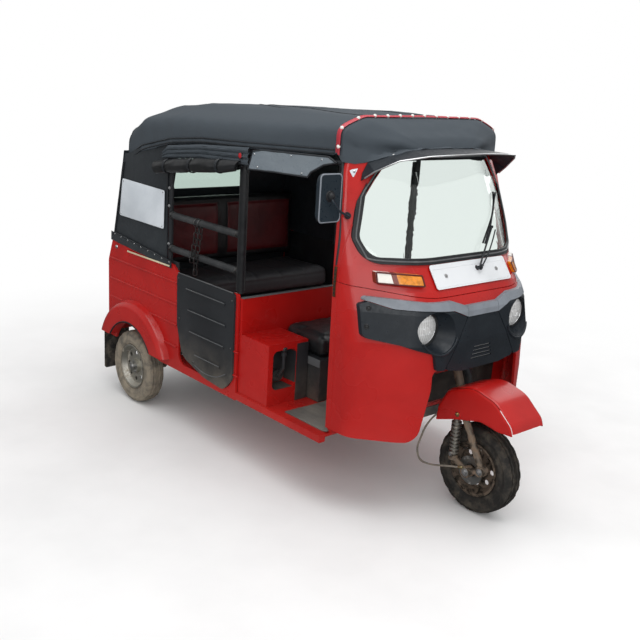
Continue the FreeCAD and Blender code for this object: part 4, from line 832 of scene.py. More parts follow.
class Shape:
    """Gathers closed shapes into one mesh, in metres and in the vehicle's frame."""

    def __init__(self) -> None:
        """Starts an empty mesh."""
        self.bm = bmesh.new()

    def absorb(self, part: bmesh.types.BMesh, place: Optional[Matrix] = None) -> None:
        """Adds a shape with its doubles merged and its faces outwards.

        Args:
            part: the shape, which is used up.
            place: where it goes.
        """
        bmesh.ops.remove_doubles(part, verts=part.verts, dist=1e-6)
        if place is not None:
            bmesh.ops.transform(part, matrix=place, verts=part.verts)
        bmesh.ops.recalc_face_normals(part, faces=part.faces)
        mesh = bpy.data.meshes.new("part")
        part.to_mesh(mesh)
        part.free()
        self.bm.from_mesh(mesh)
        bpy.data.meshes.remove(mesh)

    @staticmethod
    def soften(part: bmesh.types.BMesh, edges: Iterable[bmesh.types.BMEdge], radius: float, segments: int = 2) -> None:
        """Rounds some edges of a shape.

        Args:
            part: the shape.
            edges: the edges to round.
            radius: how far the rounding reaches.
            segments: faces across it.
        """
        if radius > 0.0:
            bmesh.ops.bevel(part, geom=list(edges), offset=radius, offset_type="OFFSET", affect="EDGES",
                            segments=segments, profile=0.5, material=-1, clamp_overlap=True)

    @staticmethod
    def aimed(start: Point, way: Point) -> Matrix:
        """The place of a shape whose own Z axis starts at a point and runs a way."""
        return Matrix.Translation(start) @ Vector(way).to_track_quat("Z", "Y").to_matrix().to_4x4()

    def box(self, low: Point, high: Point, radius: float = 0.0, segments: int = 2) -> None:
        """Adds a box with rounded edges.

        Args:
            low: its lowest corner.
            high: its highest corner.
            radius: rounding of its edges.
            segments: faces across the rounding.
        """
        part = bmesh.new()
        bmesh.ops.create_cube(part, size=1.0)
        bmesh.ops.scale(part, vec=[b - a for a, b in zip(low, high)], verts=part.verts)
        bmesh.ops.translate(part, vec=[(a + b) / 2 for a, b in zip(low, high)], verts=part.verts)
        self.soften(part, part.edges, radius, segments)
        self.absorb(part)

    def disc(self, start: Point, end: Point, radius: float, tip: Optional[float] = None, edge: float = 0.0,
             sides: int = 24) -> None:
        """Adds a round bar or cone.

        Args:
            start: centre of one face.
            end: centre of the other.
            radius: radius at the start.
            tip: radius at the end, the same when left out.
            edge: rounding of its rims.
            sides: faces round it.
        """
        way = Vector(end) - Vector(start)
        part = bmesh.new()
        bmesh.ops.create_cone(part, cap_ends=True, segments=sides, radius1=radius,
                              radius2=radius if tip is None else tip, depth=way.length)
        bmesh.ops.translate(part, vec=(0.0, 0.0, way.length / 2), verts=part.verts)
        rims = [e for e in part.edges if abs(e.verts[0].co.z - e.verts[1].co.z) < 1e-6]
        self.soften(part, rims, edge)
        self.absorb(part, self.aimed(start, way))

    def turned(self, profile: Sequence[tuple[float, float]], start: Point, way: Point, steps: int = ROUND,
               closed: bool = False) -> None:
        """Adds a shape turned about a line.

        Args:
            profile: pairs of a radius and a distance along the line.
            start: where the line starts.
            way: where it goes.
            steps: faces round it.
            closed: whether the profile returns to its start.
        """
        part = bmesh.new()
        verts = [part.verts.new((radius, 0.0, along)) for radius, along in profile]
        pairs = list(zip(verts, verts[1:]))
        if closed:
            pairs.append((verts[-1], verts[0]))
        edges = [part.edges.new(pair) for pair in pairs]
        bmesh.ops.spin(part, geom=verts + edges, cent=(0, 0, 0), axis=(0, 0, 1), dvec=(0, 0, 0),
                       angle=2 * math.pi, steps=steps, use_merge=True, use_duplicate=False)
        self.absorb(part, self.aimed(start, way))

    def slab(self, outline: Sequence[Point], depth: Point, radius: float = 0.0, segments: int = 2,
             corners: float = 0.0) -> None:
        """Adds a plate with a flat outline.

        Args:
            outline: the corners of one face.
            depth: the way and distance to the other face.
            radius: rounding of its edges.
            segments: faces across the rounding.
            corners: rounding of the outline's own corners.
        """
        part = bmesh.new()
        face = part.faces.new([part.verts.new(place) for place in outline])
        raised = bmesh.ops.extrude_face_region(part, geom=[face], use_keep_orig=True)["geom"]
        bmesh.ops.translate(part, vec=depth, verts=[v for v in raised if isinstance(v, bmesh.types.BMVert)])
        bmesh.ops.recalc_face_normals(part, faces=part.faces)
        way = Vector(depth).normalized()
        if corners > 0.0:
            upright = [e for e in part.edges if abs((e.verts[1].co - e.verts[0].co).normalized().dot(way)) > 0.99]
            self.soften(part, upright, corners, 5)
        if radius > 0.0:
            rims = [e for e in part.edges if abs((e.verts[1].co - e.verts[0].co).normalized().dot(way)) < 0.5]
            self.soften(part, rims, radius, segments)
        self.absorb(part)

    def tube(self, points: Sequence[Point], radius: float, smooth: bool = True, closed: bool = False,
             sides: int = 3, steps: int = 6, swell: Sequence[float] = ()) -> None:
        """Adds a round bar along a line.

        Args:
            points: the points that it follows.
            radius: its radius.
            smooth: whether it runs as a smooth curve near the points.
            closed: whether it returns to its start.
            sides: roundness of its section.
            steps: faces along it for each point.
            swell: how much thicker it is at each point.
        """
        mesh = curve_mesh(points, smooth, closed, steps, radius, sides, swell)
        part = bmesh.new()
        part.from_mesh(mesh)
        bpy.data.meshes.remove(mesh)
        self.absorb(part)

    def sheet(self, across: int, along: int, place: Layout, thickness: float,
              opening: Optional[Callable[[Vector], bool]] = None, smooth: int = 0,
              smooth_where: Optional[Callable[[Vector], bool]] = None) -> float:
        """Adds a thin sheet that a flat grid is laid out into.

        Args:
            across: faces across.
            along: faces along.
            place: where a point of the grid goes, from its shares across and along.
            thickness: how thick it is.
            opening: says which faces are cut out, by their middles.
            smooth: rounds of smoothing.
            smooth_where: says which points are smoothed.

        Returns:
            The sheet's area on one side.
        """
        part = bmesh.new()
        bmesh.ops.create_grid(part, x_segments=across, y_segments=along, size=0.5)
        for vert in part.verts:
            vert.co = place(vert.co.x + 0.5, vert.co.y + 0.5)
        if opening:
            gone = [face for face in part.faces if opening(face.calc_center_median())]
            bmesh.ops.delete(part, geom=gone, context="FACES")
        inside = [v for v in part.verts if not v.is_boundary and (smooth_where is None or smooth_where(v.co))]
        for _ in range(smooth):
            bmesh.ops.smooth_vert(part, verts=inside, factor=0.5, use_axis_x=True, use_axis_y=True, use_axis_z=True)
        return self.thicken(part, thickness)

    def thicken(self, part: bmesh.types.BMesh, thickness: float) -> float:
        """Adds an open sheet after giving it its thickness.

        Args:
            part: the sheet, which is used up.
            thickness: how thick it is.

        Returns:
            The sheet's area on one side.
        """
        area = sum(face.calc_area() for face in part.faces)
        raised = bmesh.ops.extrude_face_region(part, geom=list(part.faces), use_keep_orig=True)["geom"]
        part.normal_update()
        for vert in [item for item in raised if isinstance(item, bmesh.types.BMVert)]:
            vert.co -= vert.normal * thickness
        self.absorb(part)
        return area

    def dome(self, place: Point, way: Point, radius: float, height: float) -> None:
        """Adds a round-headed rivet or screw.

        Args:
            place: the middle of its foot.
            way: where its head points.
            radius: its radius.
            height: its height.
        """
        rows = [(0.0, -0.4 * height), (radius, -0.4 * height), (radius, 0.15 * height), (0.85 * radius, 0.6 * height),
                (0.5 * radius, 0.92 * height), (0.0, height)]
        self.turned(rows, place, way, 14)

    def bolt(self, place: Point, way: Point, radius: float, height: float) -> None:
        """Adds a hexagon bolt head on its washer.

        Args:
            place: the middle of its foot.
            way: where its head points.
            radius: across the hexagon's corners, halved.
            height: the head's height.
        """
        foot = Vector(place)
        out = Vector(way).normalized()
        self.disc(foot - out * 0.001, foot + out * 0.0018, radius * 1.45, edge=0.0004, sides=20)
        self.disc(foot + out * 0.0015, foot + out * (0.0015 + height), radius, edge=radius * 0.1, sides=6)
        self.disc(foot + out * height, foot + out * (height + 0.003), radius * 0.5, edge=0.0006, sides=12)

    def twin(self) -> None:
        """Adds the mirror image of all that is there, on the vehicle's other side."""
        mesh = bpy.data.meshes.new("twin")
        self.bm.to_mesh(mesh)
        mesh.transform(Matrix.Scale(-1.0, 4, (1.0, 0.0, 0.0)))
        mesh.flip_normals()
        self.bm.from_mesh(mesh)
        bpy.data.meshes.remove(mesh)

    def piece(self, name: str, finish: Finish, slot: str, replaces: Sequence[str] = (),
              body: Body = Body.ROOT) -> bpy.types.Object:
        """Turns what was gathered into a finished piece.

        Args:
            name: the piece's name.
            finish: what it is made of.
            slot: not used.
            replaces: pieces of the frame that it stands for.
            body: what it rides on.

        Returns:
            The piece.
        """
        for face in self.bm.faces:
            face.smooth = True
        for edge in self.bm.edges:
            edge.smooth = len(edge.link_faces) != 2 or edge.calc_face_angle() < SHARP
        mesh = bpy.data.meshes.new(name)
        self.bm.to_mesh(mesh)
        self.bm.free()
        mesh.materials.append(finish.material())
        piece = bpy.data.objects.new(name, mesh)
        bpy.context.scene.collection.objects.link(piece)
        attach(piece, body.value)
        if replaces:
            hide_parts(*replaces)
        log.info("%s: %d faces on %s", name, len(mesh.polygons), body.value)
        return piece


def cloth(piece: bpy.types.Object, flat: tuple[float, float], area: float) -> None:
    """Logs a sheet's flat size as cut, let out to match its area.

    Args:
        piece: the sheet.
        flat: its width and length as cut, let out where the made sheet has more cloth.
        area: the cut's area.
    """
    let_out = max(1.0, math.sqrt(area / (flat[0] * flat[1])))
    width, length = flat[0] * let_out, flat[1] * let_out
    log.info("%s: cut %.3f by %.3f m, %.4f m2", piece.name, width, length, area)


def lay(name: str, finish: Finish, grid: tuple[int, int], place: Layout, thickness: float, flat: tuple[float, float],
        held: str, rests_on: Sequence[str], replaces: Sequence[str] = (), slot: str = "hood_vinyl",
        **options: object) -> None:
    """Args:
        name: the piece's name.
        finish: its cloth.
        grid: faces across and along.
        place: where a point of the grid goes, from its shares across and along.
        thickness: how thick it is.
        flat: its width and length as cut.
        held: not used.
        rests_on: not used.
        replaces: pieces of the frame that it stands for.
        slot: the slot name handed on to the piece.
        options: openings and smoothing, as Shape.sheet takes them.
    """
    shape = Shape()
    area = shape.sheet(*grid, place, thickness, **options)
    cloth(shape.piece(name, finish, slot, replaces), flat, area)


@dataclass
class Padding:
    """How a pad is swollen from its plain form."""

    voxel: float = 0.0095
    pressure: float = 4.0
    frames: int = 20
    cap: float = 0.014
    fill: float = 0.7

    def swell(self, shape: Shape, name: str, finish: Finish, carve: Callable[[Vector, Vector], Vector],
              replaces: Sequence[str] = ()) -> None:
        """Makes a padded piece from a closed form.

        Args:
            shape: the closed form, a little smaller than the pad.
            name: the piece's name.
            finish: its cover.
            carve: moves a point of the swollen pad, from its place and the way out.
            replaces: pieces of the frame that it stands for.
        """
        pad = shape.piece(name, finish, "seat_vinyl", replaces)
        remesh = pad.modifiers.new("remesh", "REMESH")
        remesh.mode = "VOXEL"
        remesh.voxel_size = self.voxel
        remesh.use_smooth_shade = True
        self.apply(pad)
        self.blow(pad)
        ways = [vert.normal.copy() for vert in pad.data.vertices]
        for vert, way in zip(pad.data.vertices, ways):
            vert.co = carve(vert.co.copy(), way)
        rounder = pad.modifiers.new("rounder", "SUBSURF")
        rounder.levels = 1
        rounder.render_levels = 1
        self.apply(pad)
        pad.data.materials.clear()
        pad.data.materials.append(finish.material())

    @staticmethod
    def apply(pad: bpy.types.Object) -> None:
        """Fixes a pad's modifiers into its mesh.

        Args:
            pad: the pad.
        """
        bpy.context.view_layer.update()
        done = bpy.data.meshes.new_from_object(pad.evaluated_get(bpy.context.evaluated_depsgraph_get()))
        pad.modifiers.clear()
        pad.data = done
        pad.data.shade_smooth()

    def blow(self, pad: bpy.types.Object) -> None:
        """Swells a pad by cloth simulation under pressure, held to the cap.

        Args:
            pad: the pad, remeshed.
        """
        start = [vert.co.copy() for vert in pad.data.vertices]
        skin = pad.modifiers.new("cloth", "CLOTH")
        skin.settings.use_pressure = True
        skin.settings.uniform_pressure_force = self.pressure
        skin.settings.effector_weights.gravity = 0.0
        skin.point_cache.frame_start = 1
        skin.point_cache.frame_end = self.frames
        scene = bpy.context.scene
        for step in range(1, self.frames + 1):
            scene.frame_set(step)
        self.apply(pad)
        scene.frame_set(1)
        for vert, place in zip(pad.data.vertices, start):
            move = vert.co - place
            if move.length > self.cap:
                vert.co = place + move.normalized() * self.cap


@dataclass
class Hood:
    """Vinyl roof with its hem and studded front band, the rear curtain and the quarter curtains."""

    # columns: y, half width, eave height, shoulder height, crown height, share of the width that is flat
    rows: Sequence[Point] = (
        (-0.706, 0.300, 1.560, 1.580, 1.602, 0.86), (-0.680, 0.350, 1.548, 1.580, 1.612, 0.84),
        (-0.655, 0.396, 1.536, 1.584, 1.632, 0.82), (-0.600, 0.462, 1.512, 1.606, 1.668, 0.78),
        (-0.565, 0.494, 1.520, 1.632, 1.690, 0.75),
        (-0.535, 0.496, 1.545, 1.650, 1.705, 0.74), (-0.060, 0.606, 1.528, 1.624, 1.706, 0.64),
        (0.330, 0.606, 1.512, 1.612, 1.696, 0.62), (0.600, 0.606, 1.484, 1.602, 1.688, 0.60),
        (0.900, 0.596, 1.420, 1.574, 1.660, 0.62), (1.030, 0.582, 1.362, 1.515, 1.609, 0.62),
        (1.082, 0.574, 1.356, 1.490, 1.588, 0.62))
    bows: Sequence[float] = (-0.535, 0.0, 0.625, 0.965)
    back_low: float = 1.366
    across: int = 76
    along: int = 112
    thick: float = 0.0025
    sag: float = 0.007
    round_corner: float = 0.009
    corner_share: float = 0.118
    band_y: float = -0.535
    band_half: float = 0.0125
    studs: int = 15
    seams: Sequence[float] = (0.015, 0.985, 0.002, 0.998)
    rear_half: float = 0.597
    window: Sequence[float] = (0.250, 1.165, 1.360)
    quarter_x: float = 0.592
    quarter_rear: float = 1.2085
    quarter_rake: float = 0.118
    board_x: float = 0.6005
    board: Sequence[tuple[float, float]] = ((0.657, 1.240), (1.094, 1.249), (1.126, 1.041), (0.662, 1.039))
    strip_x: float = 0.6065
    strip: Sequence[tuple[float, float]] = ((0.592, 0.8515), (1.034, 0.8475), (1.030, 0.8570), (0.590, 0.8605))
    quarter_front: float = 0.636
    flap_x: float = 0.6035
    skin: Skin = field(default_factory=lambda: Skin("canopy_roof"))
    front_skin: Skin = field(default_factory=lambda: Skin("canopy_roof", "front_cowl", "windscreen_frame", "sun_visor"))

    def outline(self, y: float, share: float, grow: float = 0.0) -> Vector:
        """A place on the plain arch of the roof.

        Args:
            y: where along the vehicle.
            share: how far across, from the right eave to the left.
            grow: how far outside the arch.

        Returns:
            The place.
        """
        _, half, eave, shoulder, crown, flat = between(self.rows, y)
        half += grow
        corners = [Vector((-half, y, eave)), Vector((-half + 0.004, y, shoulder)),
                   Vector((-half * flat, y, crown + grow)), Vector((0.0, y, crown + grow + 0.002))]
        runs = [(b - a).length for a, b in zip(corners, corners[1:])]
        gone = min(share, 1.0 - share) * 2.0 * sum(runs)
        for a, b, run in zip(corners, corners[1:], runs):
            if gone <= run + 1e-6:
                break
            gone -= run
        place = a.lerp(b, min(1.0, gone / run))
        if share > 0.5:
            place.x = -place.x
        return place

    def on_roof(self, y: float, share: float, lift: float = 0.0) -> Vector:
        """A place on the sagging, creased roof.

        Args:
            y: where along the vehicle.
            share: how far across.
            lift: how far above the skin.

        Returns:
            The place.
        """
        start = self.outline(y, share, 0.05) + Vector((0.0, 0.0, 0.004))
        focus = Vector((0.3 * start.x, y, between(self.rows, y)[2] + 0.002))
        way = (start - focus).normalized()
        found = (self.front_skin if y < self.band_y - 0.004 else self.skin).cast(start, -way)
        place = found[0] if found else self.outline(y, share)
        if y < self.band_y - 0.004:
            lift += 0.006 + 0.010 * bell(min(share, 1.0 - share) - 0.05, 0.05) * bell(y + 0.60, 0.05)
        lift += self.round_corner * bell(min(share, 1.0 - share) - self.corner_share, 0.045)
        top = bell(share - 0.5, 0.36)
        depth = -self.thick * 0.5
        for front, rear in zip(self.bows, self.bows[1:]):
            if front < y < rear:
                depth -= self.sag * top * math.sin(math.pi * (y - front) / (rear - front)) ** 2
        depth += 0.0035 * top * sum(bell(y - bow, 0.016) for bow in self.bows[1:])
        depth += 0.0022 * ripple(place, 3.1, 1.0) + 0.0012 * ripple((place.x * 2.2, place.y * 0.8, place.z), 8.0, 5.0)
        depth += 0.0016 * ripple((place.x * 0.5, place.y * 1.6, place.z * 2.0), 17.0, 9.0) * (1.0 - 0.6 * top)
        if y < self.band_y - 0.02:
            depth += 0.006 * ripple((place.x * 1.3, place.y * 3.5, place.z * 0.4), 11.0, 2.0)
        elif share < 0.09 or share > 0.91:
            depth += 0.0018 * math.sin(y * 46.0 + 3.0 * ripple((0.0, y, 0.0), 4.0, 7.0))
        return place + way * (depth + lift)

    def build(self) -> None:
        """Makes every piece of the hood."""
        self.roof()
        self.edging()
        self.front_band()
        self.quarters()
        self.rear_curtain()

    def roof(self) -> None:
        """Makes the roof sheet, which turns down at the rear."""
        first, last = self.rows[0][0], self.rows[-1][0]
        share_rear = 0.9

        def place(u: float, v: float) -> Vector:
            """A point of the roof sheet."""
            if v <= share_rear:
                return self.on_roof(first + (last - first) * v / share_rear, u)
            fall = (v - share_rear) / (1.0 - share_rear)
            edge = self.outline(last, u)
            low = min(edge.z - 0.006, self.back_low)
            crease = 0.003 * ripple((edge.x, 0.0, fall * 0.3), 12.0, 4.0)
            return Vector((edge.x * (1.0 - 0.012 * fall), last + 0.006 * fall + crease * fall,
                           edge.z + (low - edge.z) * fall))

        lay("hood_roof", Finishes.HOOD, (self.across, self.along), place, self.thick, (1.66, 1.98), "stretched",
            ["roof_bows", "windscreen_frame"], ("canopy_roof",), smooth=5,
            smooth_where=lambda co: co.y > 0.93 or co.y > -0.49 and 0.36 < abs(co.x) < 0.50)

    def edging(self) -> None:
        """Makes the hem along the eaves, its welts and the seams over the roof."""
        first, last = -0.512, 1.078
        for side, name in SIDES:

            def place(u: float, v: float) -> Vector:
                """A point of the hem."""
                y = first + (last - first) * v
                share = u * 0.014
                point = self.on_roof(y, share if side < 0 else 1.0 - share)
                return point + Vector((side * (0.0032 if 0.02 < u < 0.98 else 0.0008), 0.0, -0.004 * (1.0 - u)))

            lay("hood_hem_" + name, Finishes.HOOD, (5, 90), place, 0.0018, (0.042, 1.64), "hung", ["hood_roof"])
        shape = Shape()
        for share in self.seams:
            rows = [self.on_roof(first + (last - first) * k / 44, share, 0.004) for k in range(45)]
            shape.tube(rows, 0.0032, steps=2, sides=2)
        for turn in (-1.0, 1.0):
            seam = [self.on_roof(-0.50 + 1.20 * k / 30, 0.5 + turn * (0.26 - 0.25 * k / 30), 0.001) for k in range(31)]
            shape.tube(seam, 0.0020, steps=2, sides=2)
        rear = [self.on_roof(self.rows[-1][0] - 0.025, 0.06 + 0.88 * k / 40, -0.001) for k in range(41)]
        shape.tube(rear, 0.003, steps=2, sides=2)
        shape.piece("hood_welts", Finishes.WELT, "hood_vinyl")

    def front_band(self) -> None:
        """Makes the red band over the front bow and its white studs."""

        def place(u: float, v: float) -> Vector:
            """A point of the band."""
            share = 0.006 + 0.988 * v
            y = self.band_y + self.band_half * (2.0 * u - 1.0)
            lift = 0.0070 - 0.003 * (2.0 * u - 1.0) ** 4
            return self.on_roof(y, share, lift)

        lay("front_band", Finishes.BAND, (8, 90), place, 0.003, (0.05, 1.33), "stretched", ["hood_roof"])
        studs = Shape()
        for k in range(self.studs):
            share = 0.030 + 0.940 * k / (self.studs - 1)
            spot = self.on_roof(self.band_y - 0.006, share)
            out = (spot - Vector((0.0, spot.y, 1.45))).normalized()
            studs.dome(spot + out * 0.006, out - Vector((0.0, 0.9, 0.0)), 0.0085, 0.008)
        studs.piece("front_band_studs", Finishes.STUD, "white_paint")

    def quarters(self) -> None:
        """Makes the curtain beside the seat on each side, its flap, blank board and fixings."""
        for side, name in SIDES:

            def place(u: float, v: float) -> Vector:
                """A point of the quarter curtain."""
                y = self.quarter_front + (self.quarter_rear - self.quarter_rake * v - self.quarter_front) * u
                low = 0.872 + 0.02 * u
                top = between(self.rows, y)[2] + 0.03
                z = low + (top - low) * v
                belly = 0.006 * math.sin(math.pi * u) * math.sin(math.pi * v)
                crease = 0.0035 * ripple((0.0, y * 0.8, z * 1.7), 6.0, 11.0) + 0.0015 * ripple((0.0, y, z), 21.0, 3.0)
                x = self.quarter_x - 0.0015 + belly + crease * math.sin(math.pi * min(1.0, 4.0 * v)) ** 0.5
                return Vector((side * min(x, self.quarter_x + 0.008), y, z))

            lay("quarter_curtain_" + name, Finishes.CANVAS, (40, 44), place, self.thick, (0.57, 0.64), "hung",
                ["hood_roof", "side_panel_" + name], ("canopy_sides",) if side < 0 else ())
            self.quarter_flap(side, name)

    def quarter_flap(self, side: float, name: str) -> None:
        """Makes the lower flap of a quarter curtain, and what is fixed to the curtain.

        Args:
            side: -1 for the right, 1 for the left.
            name: the side's name.
        """

        def place(u: float, v: float) -> Vector:
            """A point of the flap."""
            y = 0.578 + 0.640 * u
            low = 0.846 + 0.040 * u
            top = 0.884 + 0.052 * u
            wave = 0.0016 * math.sin(y * 41.0) + 0.001 * ripple((0.0, y, v), 14.0, 6.0)
            return Vector((side * (self.flap_x + 0.0015 * (1.0 - v) + wave * (1.0 - v)), y, low + (top - low) * v))

        lay("quarter_flap_" + name, Finishes.CANVAS, (60, 6), place, 0.002, (0.66, 0.05), "hung",
            ["quarter_curtain_" + name])
        welt = Shape()
        hem_x, back_x, front_x = (side * (self.flap_x + 0.001), side * (self.quarter_x + 0.004),
                                  side * (self.quarter_x + 0.003))
        rows = row_between((hem_x, 0.579, 0.881), (hem_x, 1.189, 0.934), 20)
        welt.tube(rows + [(side * (self.flap_x - 0.002), 1.212, 0.905)], 0.004, steps=2)
        welt.tube(row_between((back_x, 1.200, 0.90), (back_x, 1.085, 1.34), 12), 0.0045, steps=2)
        front_y = self.quarter_front + 0.004
        welt.tube(row_between((front_x, front_y, 0.88), (front_x, front_y, 1.48), 12), 0.004, steps=2)
        welt.piece("quarter_welts_" + name, Finishes.WELT, "hood_vinyl")
        strip = Shape()
        strip.slab([(side * self.strip_x, y, z) for y, z in self.strip], (side * 0.0022, 0.0, 0.0), 0.0008)
        strip.piece("quarter_strip_" + name, Finishes.CREAM, "hood_vinyl")
        board = Shape()
        board.slab([(side * self.board_x, y, z) for y, z in self.board], (side * 0.003, 0.0, 0.0), 0.0008,
                   corners=0.012)
        board.piece("blank_board_" + name, Finishes.BOARD, "white_paint")
        fixings = Shape()
        fixings.dome((side * 0.6, 1.163, 0.852), (side, 0.0, 0.0), 0.012, 0.008)
        for y, z in ((0.672, 1.229), (1.082, 1.237), (0.676, 1.051), (1.110, 1.052)):
            fixings.dome((side * (self.board_x + 0.003), y, z), (side, 0.0, 0.0), 0.0045, 0.002)
        for k in range(9):
            y = 0.60 + 0.072 * k
            fixings.dome((side * (self.flap_x + 0.0022), y, 0.8895 + 0.0855 * (y - 0.579) - 0.016),
                         (side, 0.0, 0.0), 0.005, 0.0025)
        fixings.piece("quarter_fixings_" + name, Finishes.CHROME, "bare_steel")

    def rear_curtain(self) -> None:
        """Makes the curtain behind the seat with its framed window and straps."""
        low, high = 0.886, 1.400
        half, sill, head = self.window
        lean = Vector((0.0, -0.1285, 0.5297))

        def rear_y(z: float) -> float:
            """Where the curtain's outer face stands at a height."""
            return 1.2126 + lean.y * (z - 0.8903) / lean.z

        def place(u: float, v: float) -> Vector:
            """A point of the rear curtain, its grid lines set to the window's edges."""
            x = between(((0.0, -self.rear_half), (0.3, -half), (0.7, half), (1.0, self.rear_half)), u)[1]
            z = between(((0.0, low), (0.5, sill), (0.9, head), (1.0, high)), v)[1]
            calm = min(1.0, max(abs(x) - half, sill - z, z - head, 0.0) / 0.05)
            crease = 0.004 * ripple((x * 1.6, 0.0, z * 0.7), 6.0, 13.0) + 0.0015 * ripple((x, 0.0, z), 19.0, 8.0)
            crease *= calm * math.sin(math.pi * min(1.0, v * 5.0 + 0.02)) ** 2 if v < 0.1 else calm
            return Vector((x, rear_y(z) - 0.0035 + crease, z))

        lay("rear_curtain", Finishes.CANVAS, (60, 30), place, self.thick, (1.18, 0.54), "hung",
            ["hood_roof", "rear_panel"],
            opening=lambda co: abs(co.x) < half - 0.001 and sill + 0.001 < co.z < head - 0.001)
        trim = Shape()
        ring = rounded((-half, sill), (half, head), 0.03, True)
        trim.tube([(x, rear_y(z) + 0.002, z) for x, z in ring], 0.006, closed=True, steps=5)
        trim.tube([(-0.585, rear_y(0.9) + 0.002, 0.9), (0.585, rear_y(0.9) + 0.002, 0.9)], 0.0045, smooth=False)
        width, height = Vector((0.032, 0.0, 0.0)), lean.normalized() * 0.47
        for x in (-0.40, 0.40):
            foot = Vector((x - 0.016, rear_y(0.90) + 0.001, 0.90))
            trim.slab([foot, foot + width, foot + width + height, foot + height], (0.0, 0.003, 0.0), 0.001)
        trim.piece("rear_curtain_trim", Finishes.WELT, "hood_vinyl")
        fixings = Shape()
        for k in range(11):
            x = -0.55 + 0.11 * k
            fixings.dome((x, rear_y(0.905) + 0.002, 0.909), (0.0, 1.0, 0.2), 0.006, 0.003)
        for x in (-0.40, 0.40):
            fixings.box((x - 0.022, rear_y(1.06) - 0.001, 1.045), (x + 0.022, rear_y(1.06) + 0.008, 1.075), 0.002)
        fixings.piece("rear_curtain_fixings", Finishes.CHROME, "bare_steel")


